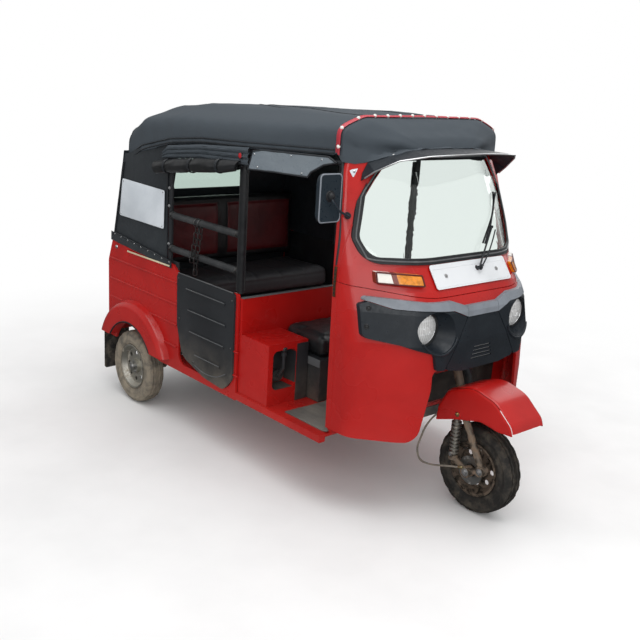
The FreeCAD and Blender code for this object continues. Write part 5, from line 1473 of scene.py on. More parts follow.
@dataclass
class SideCurtains:
    """Ribbed valance, rolled curtain and front flap under the right eave."""

    face_x: float = -0.6185
    thick: float = 0.0022
    turns: float = 2.4
    # columns: y, height of the middle of the roll, its radius
    roll_rows: Sequence[Point] = ((-0.020, 1.446, 0.025), (0.100, 1.430, 0.031), (0.302, 1.411, 0.034),
                                  (0.500, 1.386, 0.035), (0.690, 1.357, 0.031))
    tall: float = 1.05
    ties: Sequence[float] = (0.13, 0.36, 0.585)
    flap_rows: Sequence[Point] = ((-0.065, 1.436), (-0.090, 1.517), (-0.134, 1.527), (-0.493, 1.534),
                                  (-0.532, 1.513), (-0.470, 1.498), (-0.407, 1.461), (-0.391, 1.438),
                                  (-0.211, 1.439))

    def build(self) -> None:
        """Makes the valance, the roll, the flap and their fixings."""
        self.valance()
        self.roll()
        self.flap()

    def valance(self) -> None:
        """Makes the ribbed strip under the eave."""
        top = ((-0.075, 1.530), (0.314, 1.506), (0.601, 1.474), (0.645, 1.440))
        low = ((-0.075, 1.455), (0.312, 1.443), (0.645, 1.408))

        def place(u: float, v: float) -> Vector:
            """A point of the valance."""
            y = -0.075 + 0.72 * u
            bottom = between(low, y)[1]
            z = bottom + (between(top, y)[1] - bottom) * v
            rib = abs(math.sin(3.0 * math.pi * v)) ** 0.7
            puff = 0.0125 * rib * (0.75 + 0.35 * ripple((0.0, y, v * 3.0), 13.0, 2.0))
            fine = 0.0012 * ripple((0.0, y * 2.0, z), 40.0, 4.0)
            return Vector((self.face_x + 0.003 - puff - fine, y, z))

        lay("ribbed_valance", Finishes.HOOD, (80, 26), place, self.thick, (0.74, 0.12), "hung", ["hood_roof"],
            ("side_curtains",))
        eye = Shape()
        spot = (self.face_x - 0.006, -0.022, 1.491)
        eye.turned([(0.0, -0.002), (0.0125, -0.002), (0.0125, 0.004), (0.009, 0.0062), (0.0, 0.0072)], spot,
                   (-1, 0, 0), 28)
        eye.piece("red_reflector", Finishes.REFLECTOR, "red_lens")
        ring = Shape()
        ring.turned([(0.0128, -0.002), (0.0156, -0.002), (0.0156, 0.003), (0.0128, 0.005)], spot, (-1, 0, 0), 28, True)
        ring.piece("reflector_rim", Finishes.WELT, "black_plastic")

    def roll(self) -> None:
        """Makes the curtain rolled up into a lumpy spiral, and its ties."""
        first, last = self.roll_rows[0][0], self.roll_rows[-1][0]

        def place(u: float, v: float) -> Vector:
            """A point of the rolled sheet, from its core outwards."""
            y = first + (last - first) * v
            _, z, radius = between(self.roll_rows, y)
            pinch = 1.0 - 0.16 * sum(bell(y - tie, 0.022) for tie in self.ties)
            angle = 2.0 * math.pi * self.turns * u + 1.9
            spoke = Vector((math.cos(angle), 0.0, math.sin(angle)))
            lump = 1.0 + 0.11 * ripple((spoke.x, y * 3.4, spoke.z), 1.9, 3.0)
            lump += 0.05 * ripple((spoke.x * 1.5, y * 9.0, spoke.z * 1.5), 2.2, 8.0)
            size = (0.30 + 0.70 * u) * radius * pinch * lump
            x = self.face_x - 0.010 + size * spoke.x
            end = 0.010 * spoke.z * math.copysign((abs(v - 0.5) * 2.0) ** 8, v - 0.5)
            return Vector((min(x, -0.5935), y + end, z + size * spoke.z * self.tall))

        lay("rolled_curtain", Finishes.CURTAIN, (96, 90), place, 0.0016, (0.36, 0.74), "folded", ["ribbed_valance"])
        straps = Shape()
        for tie in self.ties:
            _, z, radius = between(self.roll_rows, tie)
            loop = around(radius * 0.90 + 0.003, 0.0, 337.5, 15)
            for shift in (-0.006, -0.002, 0.002, 0.006):
                straps.tube([(min(self.face_x - 0.010 + x, -0.594), tie + shift, z + up * self.tall) for x, up in loop],
                            0.0026, closed=True, steps=3, sides=2)
        straps.piece("roll_ties", Finishes.WELT, "hood_vinyl")

    def plane_x(self, y: float) -> float:
        """Where the front flap stands at a place along the vehicle."""
        return -0.6095 - 0.232 * (y + 0.06)

    def flap(self) -> None:
        """Makes the grey flap that runs in to the screen pillar, with its dark border."""
        rows = self.flap_rows
        part = bmesh.new()
        part.faces.new([part.verts.new((0.0, y, z)) for y, z in rows])
        for k in range(1, 24):
            self.slice(part, (0.0, -0.54 + 0.02 * k, 0.0), (0.0, 1.0, 0.0))
        for k in range(1, 7):
            self.slice(part, (0.0, 0.0, 1.436 + 0.014 * k), (0.0, 0.0, 1.0))
        for vert in part.verts:
            y, z = vert.co.y, vert.co.z
            folds = 0.0032 * ripple((0.0, y * 1.2, z * 0.6), 17.0, 6.0) + 0.0012 * ripple((0.0, y, z), 45.0, 1.0)
            vert.co.x = self.plane_x(y) - 0.004 + folds
        shape = Shape()
        area = shape.thicken(part, self.thick)
        flap = shape.piece("front_flap", Finishes.FLAP, "hood_vinyl")
        cloth(flap, (0.49, 0.10), area)
        border = Shape()
        for near, far in zip(rows, rows[1:] + rows[:1]):
            line = row_between((0.0, *near), (0.0, *far), max(2, int(math.dist(near, far) / 0.05)))
            for point in line:
                folds = 0.0032 * ripple((0.0, point.y * 1.2, point.z * 0.6), 17.0, 6.0)
                point.x = self.plane_x(point.y) - 0.004 + folds
            border.tube(line, 0.0045, smooth=False)
        border.piece("front_flap_border", Finishes.WELT, "hood_vinyl")
        patch = Shape()
        patch.slab([(-0.4850, -0.592, 1.489), (-0.4420, -0.606, 1.508), (-0.4740, -0.608, 1.460)],
                   (0.006, 0.010, 0.0), 0.001, corners=0.006)
        patch.piece("corner_patch", Finishes.BOARD, "white_paint")
        snaps = Shape()
        snaps.dome((-0.4670, -0.6025, 1.486), (-0.5, -0.86, 0.1), 0.006, 0.004)
        for y, z in ((-0.10, 1.505), (-0.30, 1.519), (-0.46, 1.519), (-0.12, 1.450), (-0.36, 1.450)):
            snaps.dome((self.plane_x(y) - 0.0065, y, z), (-1.0, -0.23, 0.0), 0.0045, 0.003)
        snaps.piece("flap_snaps", Finishes.CHROME, "bare_steel")

    @staticmethod
    def slice(part: bmesh.types.BMesh, place: Point, way: Point) -> None:
        """Cuts every face of a shape along a plane.

        Args:
            part: the shape.
            place: a point of the plane.
            way: the plane's normal.
        """
        whole = list(part.verts) + list(part.edges) + list(part.faces)
        bmesh.ops.bisect_plane(part, geom=whole, plane_co=place, plane_no=way)


@dataclass
class FrontFace:
    """Rims and screws on the lamps, the blank plate's edge, and what edges the cowl's rear."""

    lamp_x: float = 0.300
    lamp_z: float = 0.860
    lamp_y: float = -0.926
    lamp_radius: float = 0.070
    indicator: Sequence[tuple[float, float]] = ((-0.466, 1.045), (-0.302, 1.040), (-0.298, 1.086), (-0.462, 1.094))
    pillar_edge: Sequence[Point] = ((0.559, -0.640, 1.104), (0.551, -0.639, 1.168), (0.539, -0.630, 1.250),
                                    (0.521, -0.605, 1.370), (0.502, -0.580, 1.473), (0.494, -0.566, 1.521))

    def build(self) -> None:
        """Makes every piece of the front."""
        self.lamps()
        self.panel_screws()
        self.indicators()
        self.plate()
        self.pillar_strip()

    def lamps(self) -> None:
        """Makes the rims round the headlamps and the moulded rings on their glass."""
        rim = Shape()
        spot = (-self.lamp_x, self.lamp_y, self.lamp_z)
        radius = self.lamp_radius
        rim.turned([(radius - 0.006, 0.001), (radius + 0.003, 0.001), (radius + 0.004, 0.006), (radius, 0.010),
                    (radius - 0.005, 0.008)], spot, (0, -1, 0), ROUND, True)
        rim.twin()
        rim.piece("headlamp_rims", Finishes.GASKET, "black_rubber")
        ring = Shape()
        dome = 0.190
        for distance in (0.020, 0.058):
            rise = 0.013 - (dome - math.sqrt(dome ** 2 - distance ** 2))
            ridge = ((-0.0012, -0.001), (0.0, 0.0009), (0.0012, -0.001))
            ring.turned([(distance + aside, rise + up) for aside, up in ridge], spot, (0, -1, 0), ROUND, True)
        ring.twin()
        ring.piece("headlamp_rings", Finishes.SILVER, "lamp_glass")
        lip = Shape()
        rows = [(0.034 - self.lamp_x + x, -1.05, self.lamp_z + z) for x, z in around(0.0985, 200.0, 340.0, 18)]
        lip.tube(Skin("headlamp_panels").trace(rows, (0, 1, 0), 0.001), 0.0055, steps=3)
        lip.twin()
        lip.piece("lamp_bowl_lips", Finishes.PANEL, "black_plastic")

    def panel_screws(self) -> None:
        """Makes the screws that hold the lamp panels and the nose."""
        skin = Skin("headlamp_panels")
        screws = Shape()
        for place in ((-0.502, -0.784, 0.946), (-0.514, -0.792, 0.870)):
            spot, way = skin.nearest(place)
            screws.turned([(0.0, -0.002), (0.011, -0.002), (0.0115, 0.0008), (0.0095, 0.0022), (0.0065, 0.0006),
                           (0.0055, 0.0022), (0.0, 0.0034)], spot, way, 24)
        screws.twin()
        screws.piece("lamp_panel_screws", Finishes.SEAT_GLOSS, "black_plastic")
        grille = Shape()
        for k in range(4):
            z = 0.715 + 0.017 * k
            half = 0.066 - 0.005 * k
            grille.tube(row_between((-half, -0.9965, z), (half, -0.9965, z), 4), 0.0022, sides=2)
        grille.piece("nose_slot_mesh", Finishes.STEEL, "bare_steel")

    def indicators(self) -> None:
        """Makes the dark frames of the turn lamps, a little inside the lenses' outline."""
        corners = [Vector((x, -1.2, z)) for x, z in self.indicator]
        middle = sum(corners, Vector()) / len(corners)
        places = [place - middle for near, far in zip(corners, corners[1:] + corners[:1])
                  for place in row_between(near, far, 8)[:-1]]
        starts = [middle + Vector((off.x * 0.955, 0.0, off.z * 0.88)) for off in places]
        line = Skin("front_indicators").trace(starts, (0, 1, 0), 0.0005)
        shape = Shape()
        shape.tube(line, 0.0036, closed=True, steps=3)
        shape.twin()
        shape.piece("indicator_frames", Finishes.DARK_RED, "black_plastic")

    def plate(self) -> None:
        """Makes the raised edge and the bolts of the blank plate."""
        skin = Skin("front_plate")
        lean = math.radians(35.0)
        up = Vector((0.0, math.sin(lean), math.cos(lean)))
        out = Vector((0.0, -math.cos(lean), math.sin(lean)))
        foot = Vector((0.0, -0.931, 1.026)) + out * 0.0024
        line = [foot + Vector((x, 0.0, 0.0)) + up * h for x, h in (
            (-0.236, 0.008), (0.236, 0.008), (0.243, 0.016), (0.243, 0.084), (0.236, 0.091), (0.060, 0.091),
            (-0.236, 0.091), (-0.243, 0.084), (-0.243, 0.016))]
        edge = Shape()
        edge.tube(line, 0.0016, smooth=False, closed=True)
        edge.piece("plate_edge", Finishes.WHITE, "white_paint")
        bolts = Shape()
        for x in (-0.170, 0.170):
            found = skin.cast(foot + Vector((x, 0.0, 0.0)) + up * 0.056 + out * 0.2, -out)
            if found:
                bolts.bolt(found[0], out, 0.0065, 0.004)
        bolts.piece("plate_bolts", Finishes.STEEL, "bare_steel")

    def pillar_strip(self) -> None:
        """Makes the punched strip, the bead and the rubber lip at the front cowl's rear edge."""
        skin = Skin("front_cowl", "windscreen_frame")
        strip = Shape()
        holes = Shape()
        rows = skin.trace(row_between((-0.8, -0.634, 0.968), (-0.8, -0.634, 1.098), 8), (1, 0, 0))
        ahead, behind = Vector((-0.0022, -0.008, 0.0)), Vector((-0.0022, 0.008, 0.0))
        for near, far in zip(rows, rows[1:]):
            strip.slab([near + ahead, near + behind, far + behind, far + ahead], (0.003, 0.0, 0.0))
        for spot in rows[1:-1]:
            holes.disc(spot + Vector((-0.0028, 0.0, 0.0)), spot, 0.0042, sides=14)
        bead = Shape()
        line = skin.trace(row_between((-0.8, -0.652, 0.39), (-0.8, -0.652, 1.43), 20), (1, 0, 0), -0.001)
        bead.tube(line, 0.0034, steps=3)
        lips = Shape()
        for side, _ in SIDES:
            lips.tube([(side * x, y + 0.007, z) for x, y, z in self.pillar_edge], 0.006, steps=4)
        lips.piece("pillar_lips", Finishes.WELT, "black_rubber")
        for shape, name, finish, slot in ((strip, "pillar_strip", Finishes.STRIP, "bare_steel"),
                                          (holes, "pillar_strip_holes", Finishes.BLACK, "bare_steel"),
                                          (bead, "cowl_flange_bead", Finishes.RED, "red_paint")):
            shape.twin()
            shape.piece(name, finish, slot)


@dataclass
class Windscreen:
    """The grey strip painted as a highlight along the gasket, the visor's edging, the wiper's fine parts and the
    mirror's.
    """

    half_low: float = 0.472
    half_mid: float = 0.504
    half_top: float = 0.412
    low: float = 1.134
    mid: float = 1.224
    top: float = 1.548
    visor_lip: Sequence[Point] = ((0.0, -0.900, 1.585), (0.150, -0.892, 1.581), (0.280, -0.850, 1.572),
                                  (0.380, -0.775, 1.548), (0.434, -0.690, 1.496), (0.446, -0.646, 1.464))
    head: Sequence[tuple[float, float]] = ((-0.674, 1.288), (-0.562, 1.482))
    head_y: float = -0.635

    def build(self) -> None:
        """Makes every fine piece round the windscreen."""
        self.lip()
        self.visor()
        self.wiper()
        self.mirror()

    def lip(self) -> None:
        """Lays a grey strip along the gasket's face, a painted highlight line on the black rubber."""
        skin = Skin("windscreen_rubber")
        corners = ((-self.half_low, self.low), (self.half_low, self.low), (self.half_mid, self.mid),
                   (self.half_top, self.top), (-self.half_top, self.top), (-self.half_mid, self.mid))
        corners = [Vector((x, 0.0, z)) for x, z in corners]
        control = [near.lerp(far, share) for near, far in zip(corners, corners[1:] + corners[:1])
                   for share in (0.06, 0.14, 0.30, 0.5, 0.70, 0.86, 0.94)]
        ring = curve_mesh(control, closed=True, steps=3)
        starts = [(vert.co.x, -1.3, vert.co.z) for vert in ring.vertices]
        bpy.data.meshes.remove(ring)
        shape = Shape()
        # the strip's grey is a painted highlight
        shape.tube(skin.trace(starts, (0, 1, 0), 0.0004), 0.0036, closed=True, steps=2)
        shape.piece("gasket_highlight_strip", Finishes.LIP, "grey_plastic")

    def visor(self) -> None:
        """Makes the bright edging and the rivets of the sun visor."""
        rows = [(-x, y, z) for x, y, z in reversed(self.visor_lip)] + list(self.visor_lip[1:])
        shape = Shape()
        shape.tube([(x, y - 0.001, z - 0.002) for x, y, z in rows], 0.0033, smooth=False)
        shape.piece("visor_edging", Finishes.SILVER, "bare_steel")
        skin = Skin("sun_visor")
        rivets = Shape()
        for x in (0.08, 0.22, 0.33):
            found = skin.cast((x, -0.655 - 0.1 * x, 1.75), (0, 0, -1))
            if found:
                rivets.dome(found[0], found[1], 0.006, 0.003)
        rivets.twin()
        rivets.piece("visor_rivets", Finishes.STEEL, "bare_steel")

    def wiper(self) -> None:
        """Makes the second rod, the blade's rubber and the nut of the wiper."""
        skin = Skin("windscreen_glass")

        def ahead(x: float, z: float, off: float) -> Vector:
            """A place in front of the glass."""
            found = skin.cast((x, -1.3, z), (0, 1, 0))
            return (found[0] if found else Vector((x, -0.8, z))) + Vector((0.0, -off, 0.0))

        arm = Shape()
        arm.tube([(0.070, -0.902, 1.098), ahead(0.13, 1.150, 0.042), ahead(0.208, 1.236, 0.030)], 0.0032)
        arm.tube([(0.045, -0.906, 1.089), (0.070, -0.902, 1.098)], 0.006)
        arm.bolt((0.045, -0.912, 1.092), (0.0, -0.98, 0.19), 0.008, 0.006)
        arm.piece("wiper_rod", Finishes.BLACK, "black_paint")
        blade = Shape()
        places = [ahead(place.x, place.z, 0.008) for place in row_between((0.130, 0.0, 1.182), (0.320, 0.0, 1.385), 12)]
        for k in range(0, 12, 2):
            blade.tube(places[k:k + 3], 0.0045)
        blade.piece("wiper_blade", Finishes.GASKET, "black_rubber")

    def mirror(self) -> None:
        """Makes the mirror's rim, its ball joint and its silvered glass."""
        shape = Shape()
        corner = 0.034
        (x0, z0), (x1, z1) = self.head
        line = rounded(*self.head, corner, True)
        shape.tube([(x, self.head_y + 0.002, z) for x, z in line], 0.0032, closed=True, steps=5)
        shape.piece("mirror_rim", Finishes.TRIM, "grey_plastic")
        glass = Shape()
        rim = 0.007
        pane = ((x0 + rim, z0 + rim), (x1 - rim, z0 + rim), (x1 - rim, z1 - rim), (x0 + rim, z1 - rim))
        glass.slab([(x, self.head_y + 0.0238, z) for x, z in pane], (0.0, 0.0016, 0.0), 0.0004, corners=corner - rim)
        glass.piece("mirror_glass", Finishes.MIRROR_GLASS, "lamp_glass")
        joint = Shape()
        joint.dome((-0.622, self.head_y - 0.006, 1.394), (0, -1, 0), 0.017, 0.015)
        joint.disc((-0.622, self.head_y + 0.001, 1.394), (-0.622, self.head_y - 0.004, 1.394), 0.024, 0.020, 0.001)
        joint.bolt((-0.5255, -0.6455, 1.310), (-0.539, -0.842, 0.0), 0.007, 0.004)
        joint.piece("mirror_joint", Finishes.CAB_PLASTIC, "black_plastic")


@dataclass
class Cab:
    """Seats, trims, mat, coated front wall and hand controls."""

    seat_half: float = 0.338
    seat_limit: float = 0.3465
    seat_floor: float = 0.5605
    seat_rear: float = -0.034
    bench_half: float = 0.546
    bench_floor: float = 0.6155
    bench_channels: Sequence[float] = (-0.36, -0.18, 0.0, 0.18, 0.36)
    levers: Sequence[Point] = ((0.160, -0.632, 1.006), (0.188, -0.636, 1.002), (0.240, -0.610, 0.996),
                               (0.286, -0.588, 0.991))
    dial: Point = (0.0, -0.690, 1.030)

    def build(self) -> None:
        """Makes every piece of the cab."""
        self.driver_seat()
        self.passenger_seat()
        self.trim()
        self.mat()
        self.underseal()
        self.controls()

    def driver_seat(self) -> None:
        """Makes the driver's cushion."""
        half = self.seat_half
        shape = Shape()
        shape.slab([(-half, -0.332, 0.568), (-half, -0.048, 0.568), (-half, -0.050, 0.672), (-half, -0.326, 0.664)],
                   (2 * half, 0.0, 0.0), 0.02, 3, corners=0.03)

        def carve(place: Vector, way: Vector) -> Vector:
            """Presses the seams and creases into the cushion."""
            channel = 0.006 * (bell(abs(place.x) - 0.10, 0.008) + bell(place.y + 0.30, 0.006)) * max(0.0, way.z)
            crease = 0.0012 * ripple(place, 7.0, 2.0)
            moved = place - way * (channel - crease)
            moved.z = max(moved.z, self.seat_floor)
            moved.y = min(moved.y, self.seat_rear)
            moved.x = max(-self.seat_limit, min(self.seat_limit, moved.x))
            return moved

        Padding(voxel=0.0085, pressure=2.5, cap=0.010).swell(shape, "driver_cushion_pad", Finishes.SEAT_GLOSS, carve,
                                                             ("driver_cushion",))

    def passenger_seat(self) -> None:
        """Makes the bench cushion and the backrest."""
        half = self.bench_half
        seat = Shape()
        seat.slab([(-half, 0.612, 0.624), (-half, 1.040, 0.624), (-half, 1.036, 0.722), (-half, 0.616, 0.732)],
                  (2 * half, 0.0, 0.0), 0.022, 3, corners=0.03)

        def carve_seat(place: Vector, way: Vector) -> Vector:
            """Presses channels into the bench cushion."""
            lines = sum(bell(place.x - x, 0.008) for x in self.bench_channels)
            channel = 0.007 * lines * max(0.0, way.z) + 0.004 * bell(place.z - 0.700, 0.005) * max(0.0, -way.y)
            crease = 0.0022 * ripple(place, 11.0, 4.0) + 0.001 * ripple(place, 29.0, 7.0)
            moved = place - way * (channel - crease)
            moved.z = max(moved.z, self.bench_floor)
            return moved

        Padding().swell(seat, "bench_cushion", Finishes.SEAT, carve_seat, ("passenger_cushions",))
        back = Shape()
        back.slab([(-half, 0.982, 0.752), (-half, 1.050, 0.748), (-half, 1.102, 0.884), (-half, 1.052, 1.154),
                   (-half, 0.998, 1.154)], (2 * half, 0.0, 0.0), 0.02, 3, corners=0.025)

        def carve_back(place: Vector, way: Vector) -> Vector:
            """Presses the panels' seams into the backrest."""
            face = max(0.0, -way.y)
            sides = sum(bell(abs(place.x) - x, 0.007) for x in (0.035, 0.505)) * (1.0 if 0.80 < place.z < 1.10 else 0.0)
            rails = sum(bell(place.z - z, 0.007) for z in (0.80, 1.10)) * (1.0 if 0.035 < abs(place.x) < 0.505 else 0.0)
            crease = 0.002 * ripple(place, 10.0, 6.0) + 0.001 * ripple(place, 27.0, 3.0)
            return place - way * (0.007 * face * (sides + rails) - crease)

        Padding(cap=0.012).swell(back, "bench_backrest", Finishes.SEAT_BACK, carve_back)

    def trim(self) -> None:
        """Makes the bright strips, the seat box's sides, the black sheets that paint shade into the lever's recess, the
        lever's knob, and the side trims.
        """
        strips = Shape()
        for low, high in ((-0.3445, -0.3425), (0.3425, 0.3445)):
            strips.box((low, -0.330, 0.520), (high, -0.045, 0.5585), 0.0005)
        strips.box((-0.585, 0.6335, 0.598), (0.585, 0.6385, 0.6135), 0.0015)
        strips.box((-0.586, -0.0345, 0.8200), (0.586, -0.0105, 0.8235), 0.001)
        strips.piece("cab_strips", Finishes.LIP, "bare_steel")
        skirts = Shape()
        for low, high in ((-0.342, -0.232), (0.232, 0.342)):
            skirts.box((low, -0.333, 0.3465), (high, -0.040, 0.5595), 0.003)
        skirts.box((-0.418, -0.2475, 0.3465), (-0.3485, -0.2453, 0.632), 0.0)
        skirts.piece("seat_box_sides", Finishes.BLACK, "black_paint")
        # painted shade: black sheets line the lever's recess where the shade inside it falls
        recess = Shape()
        recess.slab([(-0.556, -0.1585, 0.424), (-0.424, -0.1585, 0.424), (-0.424, -0.1585, 0.608),
                     (-0.556, -0.1585, 0.608)], (0.0, 0.002, 0.0), 0.0, corners=0.026)
        recess.box((-0.4222, -0.2440, 0.4250), (-0.4202, -0.1570, 0.6070))
        recess.box((-0.5590, -0.2440, 0.4205), (-0.4210, -0.1570, 0.4225))
        recess.piece("lever_recess_shade_lining", Finishes.BLACK, "black_paint")
        trims = Shape()
        trims.box((0.5835, 0.530, 0.600), (0.5872, 1.105, 0.885), 0.0008)
        trims.twin()
        trims.piece("cab_side_trims", Finishes.CAB_PLASTIC, "black_plastic")
        knob = Shape()
        knob.turned([(0.0, -0.012), (0.009, -0.012), (0.015, -0.004), (0.0175, 0.006), (0.015, 0.016), (0.008, 0.0215),
                     (0.0, 0.0225)], (-0.490, -0.236, 0.604), (0, 0, 1), 28)
        knob.piece("lever_knob", Finishes.SEAT_GLOSS, "black_plastic")

    def mat(self) -> None:
        """Lays the ribbed mat on the cab floor."""

        def place(u: float, v: float) -> Vector:
            """A point of the mat."""
            x = -0.555 + 1.11 * u
            y = -0.632 + 0.29 * v
            curl = 0.006 * max(0.0, 1.0 - 9.0 * v) ** 2
            return Vector((x, y, 0.3485 + curl + 0.0012 * abs(math.sin(x * 90.0)) + 0.0015 * ripple((x, y, 0.0), 7.0)))

        lay("floor_mat", Finishes.FLOOR_MAT, (200, 24), place, 0.003, (1.13, 0.30), "laid", ["floor_pan"],
            slot="black_rubber")

    def underseal(self) -> None:
        """Coats the floor's front wall, behind the fork, against road dirt."""
        skin = Skin("floor_pan")

        def place(u: float, v: float) -> Vector:
            """A point of the coating."""
            x, z = -0.42 + 0.84 * u, 0.402 + 0.16 * v
            found = skin.cast((x, -1.3, z), (0, 1, 0))
            return found[0] + Vector((0.0, -0.0022, 0.0)) if found else Vector((x, -0.75, z))

        shape = Shape()
        shape.sheet(40, 12, place, 0.0015)
        shape.piece("front_underseal", Finishes.UNDERSEAL, "black_rubber")

    def controls(self) -> None:
        """Makes the hand levers, the grips' ribs and the dial."""
        rods = Shape()
        for side, _ in SIDES:
            rods.tube([(side * x, y, z) for x, y, z in self.levers], 0.005, steps=8, swell=(1.3, 1.2, 1.0, 1.1))
            rods.disc((side * 0.158, -0.626, 0.996), (side * 0.158, -0.626, 1.018), 0.012, edge=0.002)
        rods.piece("hand_levers", Finishes.CHROME, "bare_steel", body=Body.STEERING)
        grips = Shape()
        for side, _ in SIDES:
            end = Vector((side * 0.300, -0.5505, 0.997))
            run = Vector((side * 0.176, -0.6005, 1.011)) - end
            for k in range(12):
                at = end + run * (0.05 + 0.066 * k)
                grips.turned([(0.0165, -0.0022), (0.0188, 0.0), (0.0165, 0.0022)], at, run, 20, True)
        grips.piece("grip_ribs", Finishes.GASKET, "black_rubber", body=Body.STEERING)
        rim = Shape()
        spot = Vector(self.dial)
        way = Vector((0.0, 0.28, 0.96))
        lip = [(0.040, -0.004), (0.046, -0.004), (0.046, 0.006), (0.042, 0.008), (0.040, 0.004)]
        rim.turned(lip, spot, way, 40, True)
        rim.piece("dial_rim", Finishes.CHROME, "bare_steel", body=Body.STEERING)
        face = Shape()
        face.disc(spot - way * 0.002, spot + way * 0.004, 0.041, sides=40)
        face.piece("dial_face", Finishes.CAB_PLASTIC, "black_plastic", body=Body.STEERING)


@dataclass
class DoorAndBars:
    """Grey strips painted as highlights on the half door's ribs, sleeves on the bars, wraps and bolts on the posts."""

    rib_x: float = -0.6153
    door_edge_x: float = -0.6095
    panel_x: float = -0.6020
    ribs: Sequence[Point] = ((0.080, 0.422, 0.770), (0.070, 0.402, 0.662), (0.078, 0.384, 0.552), (0.108, 0.332, 0.440))
    bar_x: float = -0.584
    bars: Sequence[float] = (1.120, 0.945)
    sleeve_radius: float = 0.015
    sleeve_start: float = 0.0175
    sleeve_length: float = 0.588
    sleeve_ribs: int = 66
    sleeve_pitch: float = 0.0088
    post_x: float = 0.580

    def build(self) -> None:
        """Makes every piece of the right entry."""
        self.door()
        self.sleeves()
        self.posts()

    def door(self) -> None:
        """Makes the grey strips painted as highlights along the door's ribs, the door's top edge and its fixings."""
        # painted highlight: grey tubes along the black door's ribs and its lower curve stand in for the light on their
        # edges
        ribs = Shape()
        for y0, y1, z in self.ribs:
            z += 0.0045
            ribs.tube(row_between((self.rib_x, y0 + 0.003, z), (self.rib_x, y1 - 0.003, z), 2), 0.0022)
        ribs.tube([(-0.6105, y, z) for y, z in ((0.330, 0.388), (0.290, 0.376), (0.240, 0.369), (0.171, 0.373),
                                                (0.110, 0.390), (0.060, 0.420))], 0.0026)
        ribs.piece("door_rib_highlights", Finishes.LIP, "bare_steel")
        edge = Shape()
        edge.tube([(self.door_edge_x, y, z) for y, z in ((0.020, 0.8405), (0.260, 0.8408), (0.500, 0.8405))], 0.0024)
        edge.piece("door_top_edge", Finishes.LIP, "bare_steel")
        beads = Shape()
        for z, y0, y1, steps in ((0.780, 0.520, 1.235, 6), (0.662, 0.520, 1.235, 6), (0.552, 0.520, 0.640, 6),
                                 (0.432, 0.520, 0.640, 6), (0.552, -0.03, 0.0099, 3), (0.432, -0.03, 0.0099, 3)):
            beads.tube(row_between((self.panel_x, y0, z), (self.panel_x, y1, z), steps), 0.0045)
        beads.twin()
        beads.piece("panel_beads", Finishes.RED, "red_paint")
        bolts = Shape()
        for y, z in ((0.026, 0.800), (0.026, 0.560), (0.496, 0.812), (0.486, 0.600), (0.350, 0.400)):
            bolts.dome((-0.6103, y, z), (-1, 0, 0), 0.0055, 0.003)
        bolts.piece("door_bolts", Finishes.CHAIN, "bare_steel")

    def sleeves(self) -> None:
        """Makes the ribbed sleeves on the two bars and the clamps at their ends."""
        sleeve = Shape()
        clamps = Shape()
        radius = self.sleeve_radius
        for z in self.bars:
            profile = [(radius - 0.001, 0.0)]
            for k in range(self.sleeve_ribs):
                at = 0.004 + self.sleeve_pitch * k
                profile += [(radius + 0.0004, at), (radius + 0.0026, at + 0.0028), (radius + 0.0026, at + 0.0060),
                            (radius + 0.0004, at + 0.0086)]
            profile.append((radius - 0.001, self.sleeve_length))
            sleeve.turned(profile, (self.bar_x, self.sleeve_start, z), (0, 1, 0), 16, True)
            for y in (0.026, 0.600):
                clamps.disc((self.bar_x, y - 0.007, z), (self.bar_x, y + 0.007, z), radius + 0.0045, edge=0.001)
                clamps.bolt((self.bar_x - radius - 0.003, y, z), (-1, 0, 0), 0.005, 0.004)
        sleeve.piece("bar_sleeves", Finishes.GREY_BAR, "grey_plastic")
        clamps.piece("bar_clamps", Finishes.CHAIN, "bare_steel")

    def posts(self) -> None:
        """Wraps the middle posts in vinyl and bolts the rear ones."""
        for side, name in SIDES:

            def place(u: float, v: float) -> Vector:
                """A point of the wrap."""
                angle = 2.0 * math.pi * (0.98 * u) + (0.0 if side > 0 else math.pi)
                z = 0.852 + 0.585 * v
                loose = 0.022 + 0.0012 * ripple((math.cos(angle), math.sin(angle), z * 1.5), 2.3, 4.0)
                x = self.post_x + loose * 0.85 * math.cos(angle) - 0.002
                return Vector((side * min(x, 0.6035), 0.007 + loose * 0.95 * math.sin(angle), z))

            lay("post_wrap_" + name, Finishes.CURTAIN, (28, 90), place, 0.0015, (0.15, 0.60), "gathered",
                ["roof_frame"])
        bolts = Shape()
        for z in (1.257, 1.165, 0.967):
            bolts.bolt((-self.post_x - 0.012, 0.625, z), (-1, 0, 0), 0.006, 0.004)
        bolts.twin()
        bolts.piece("post_bolts", Finishes.SILVER, "bare_steel")


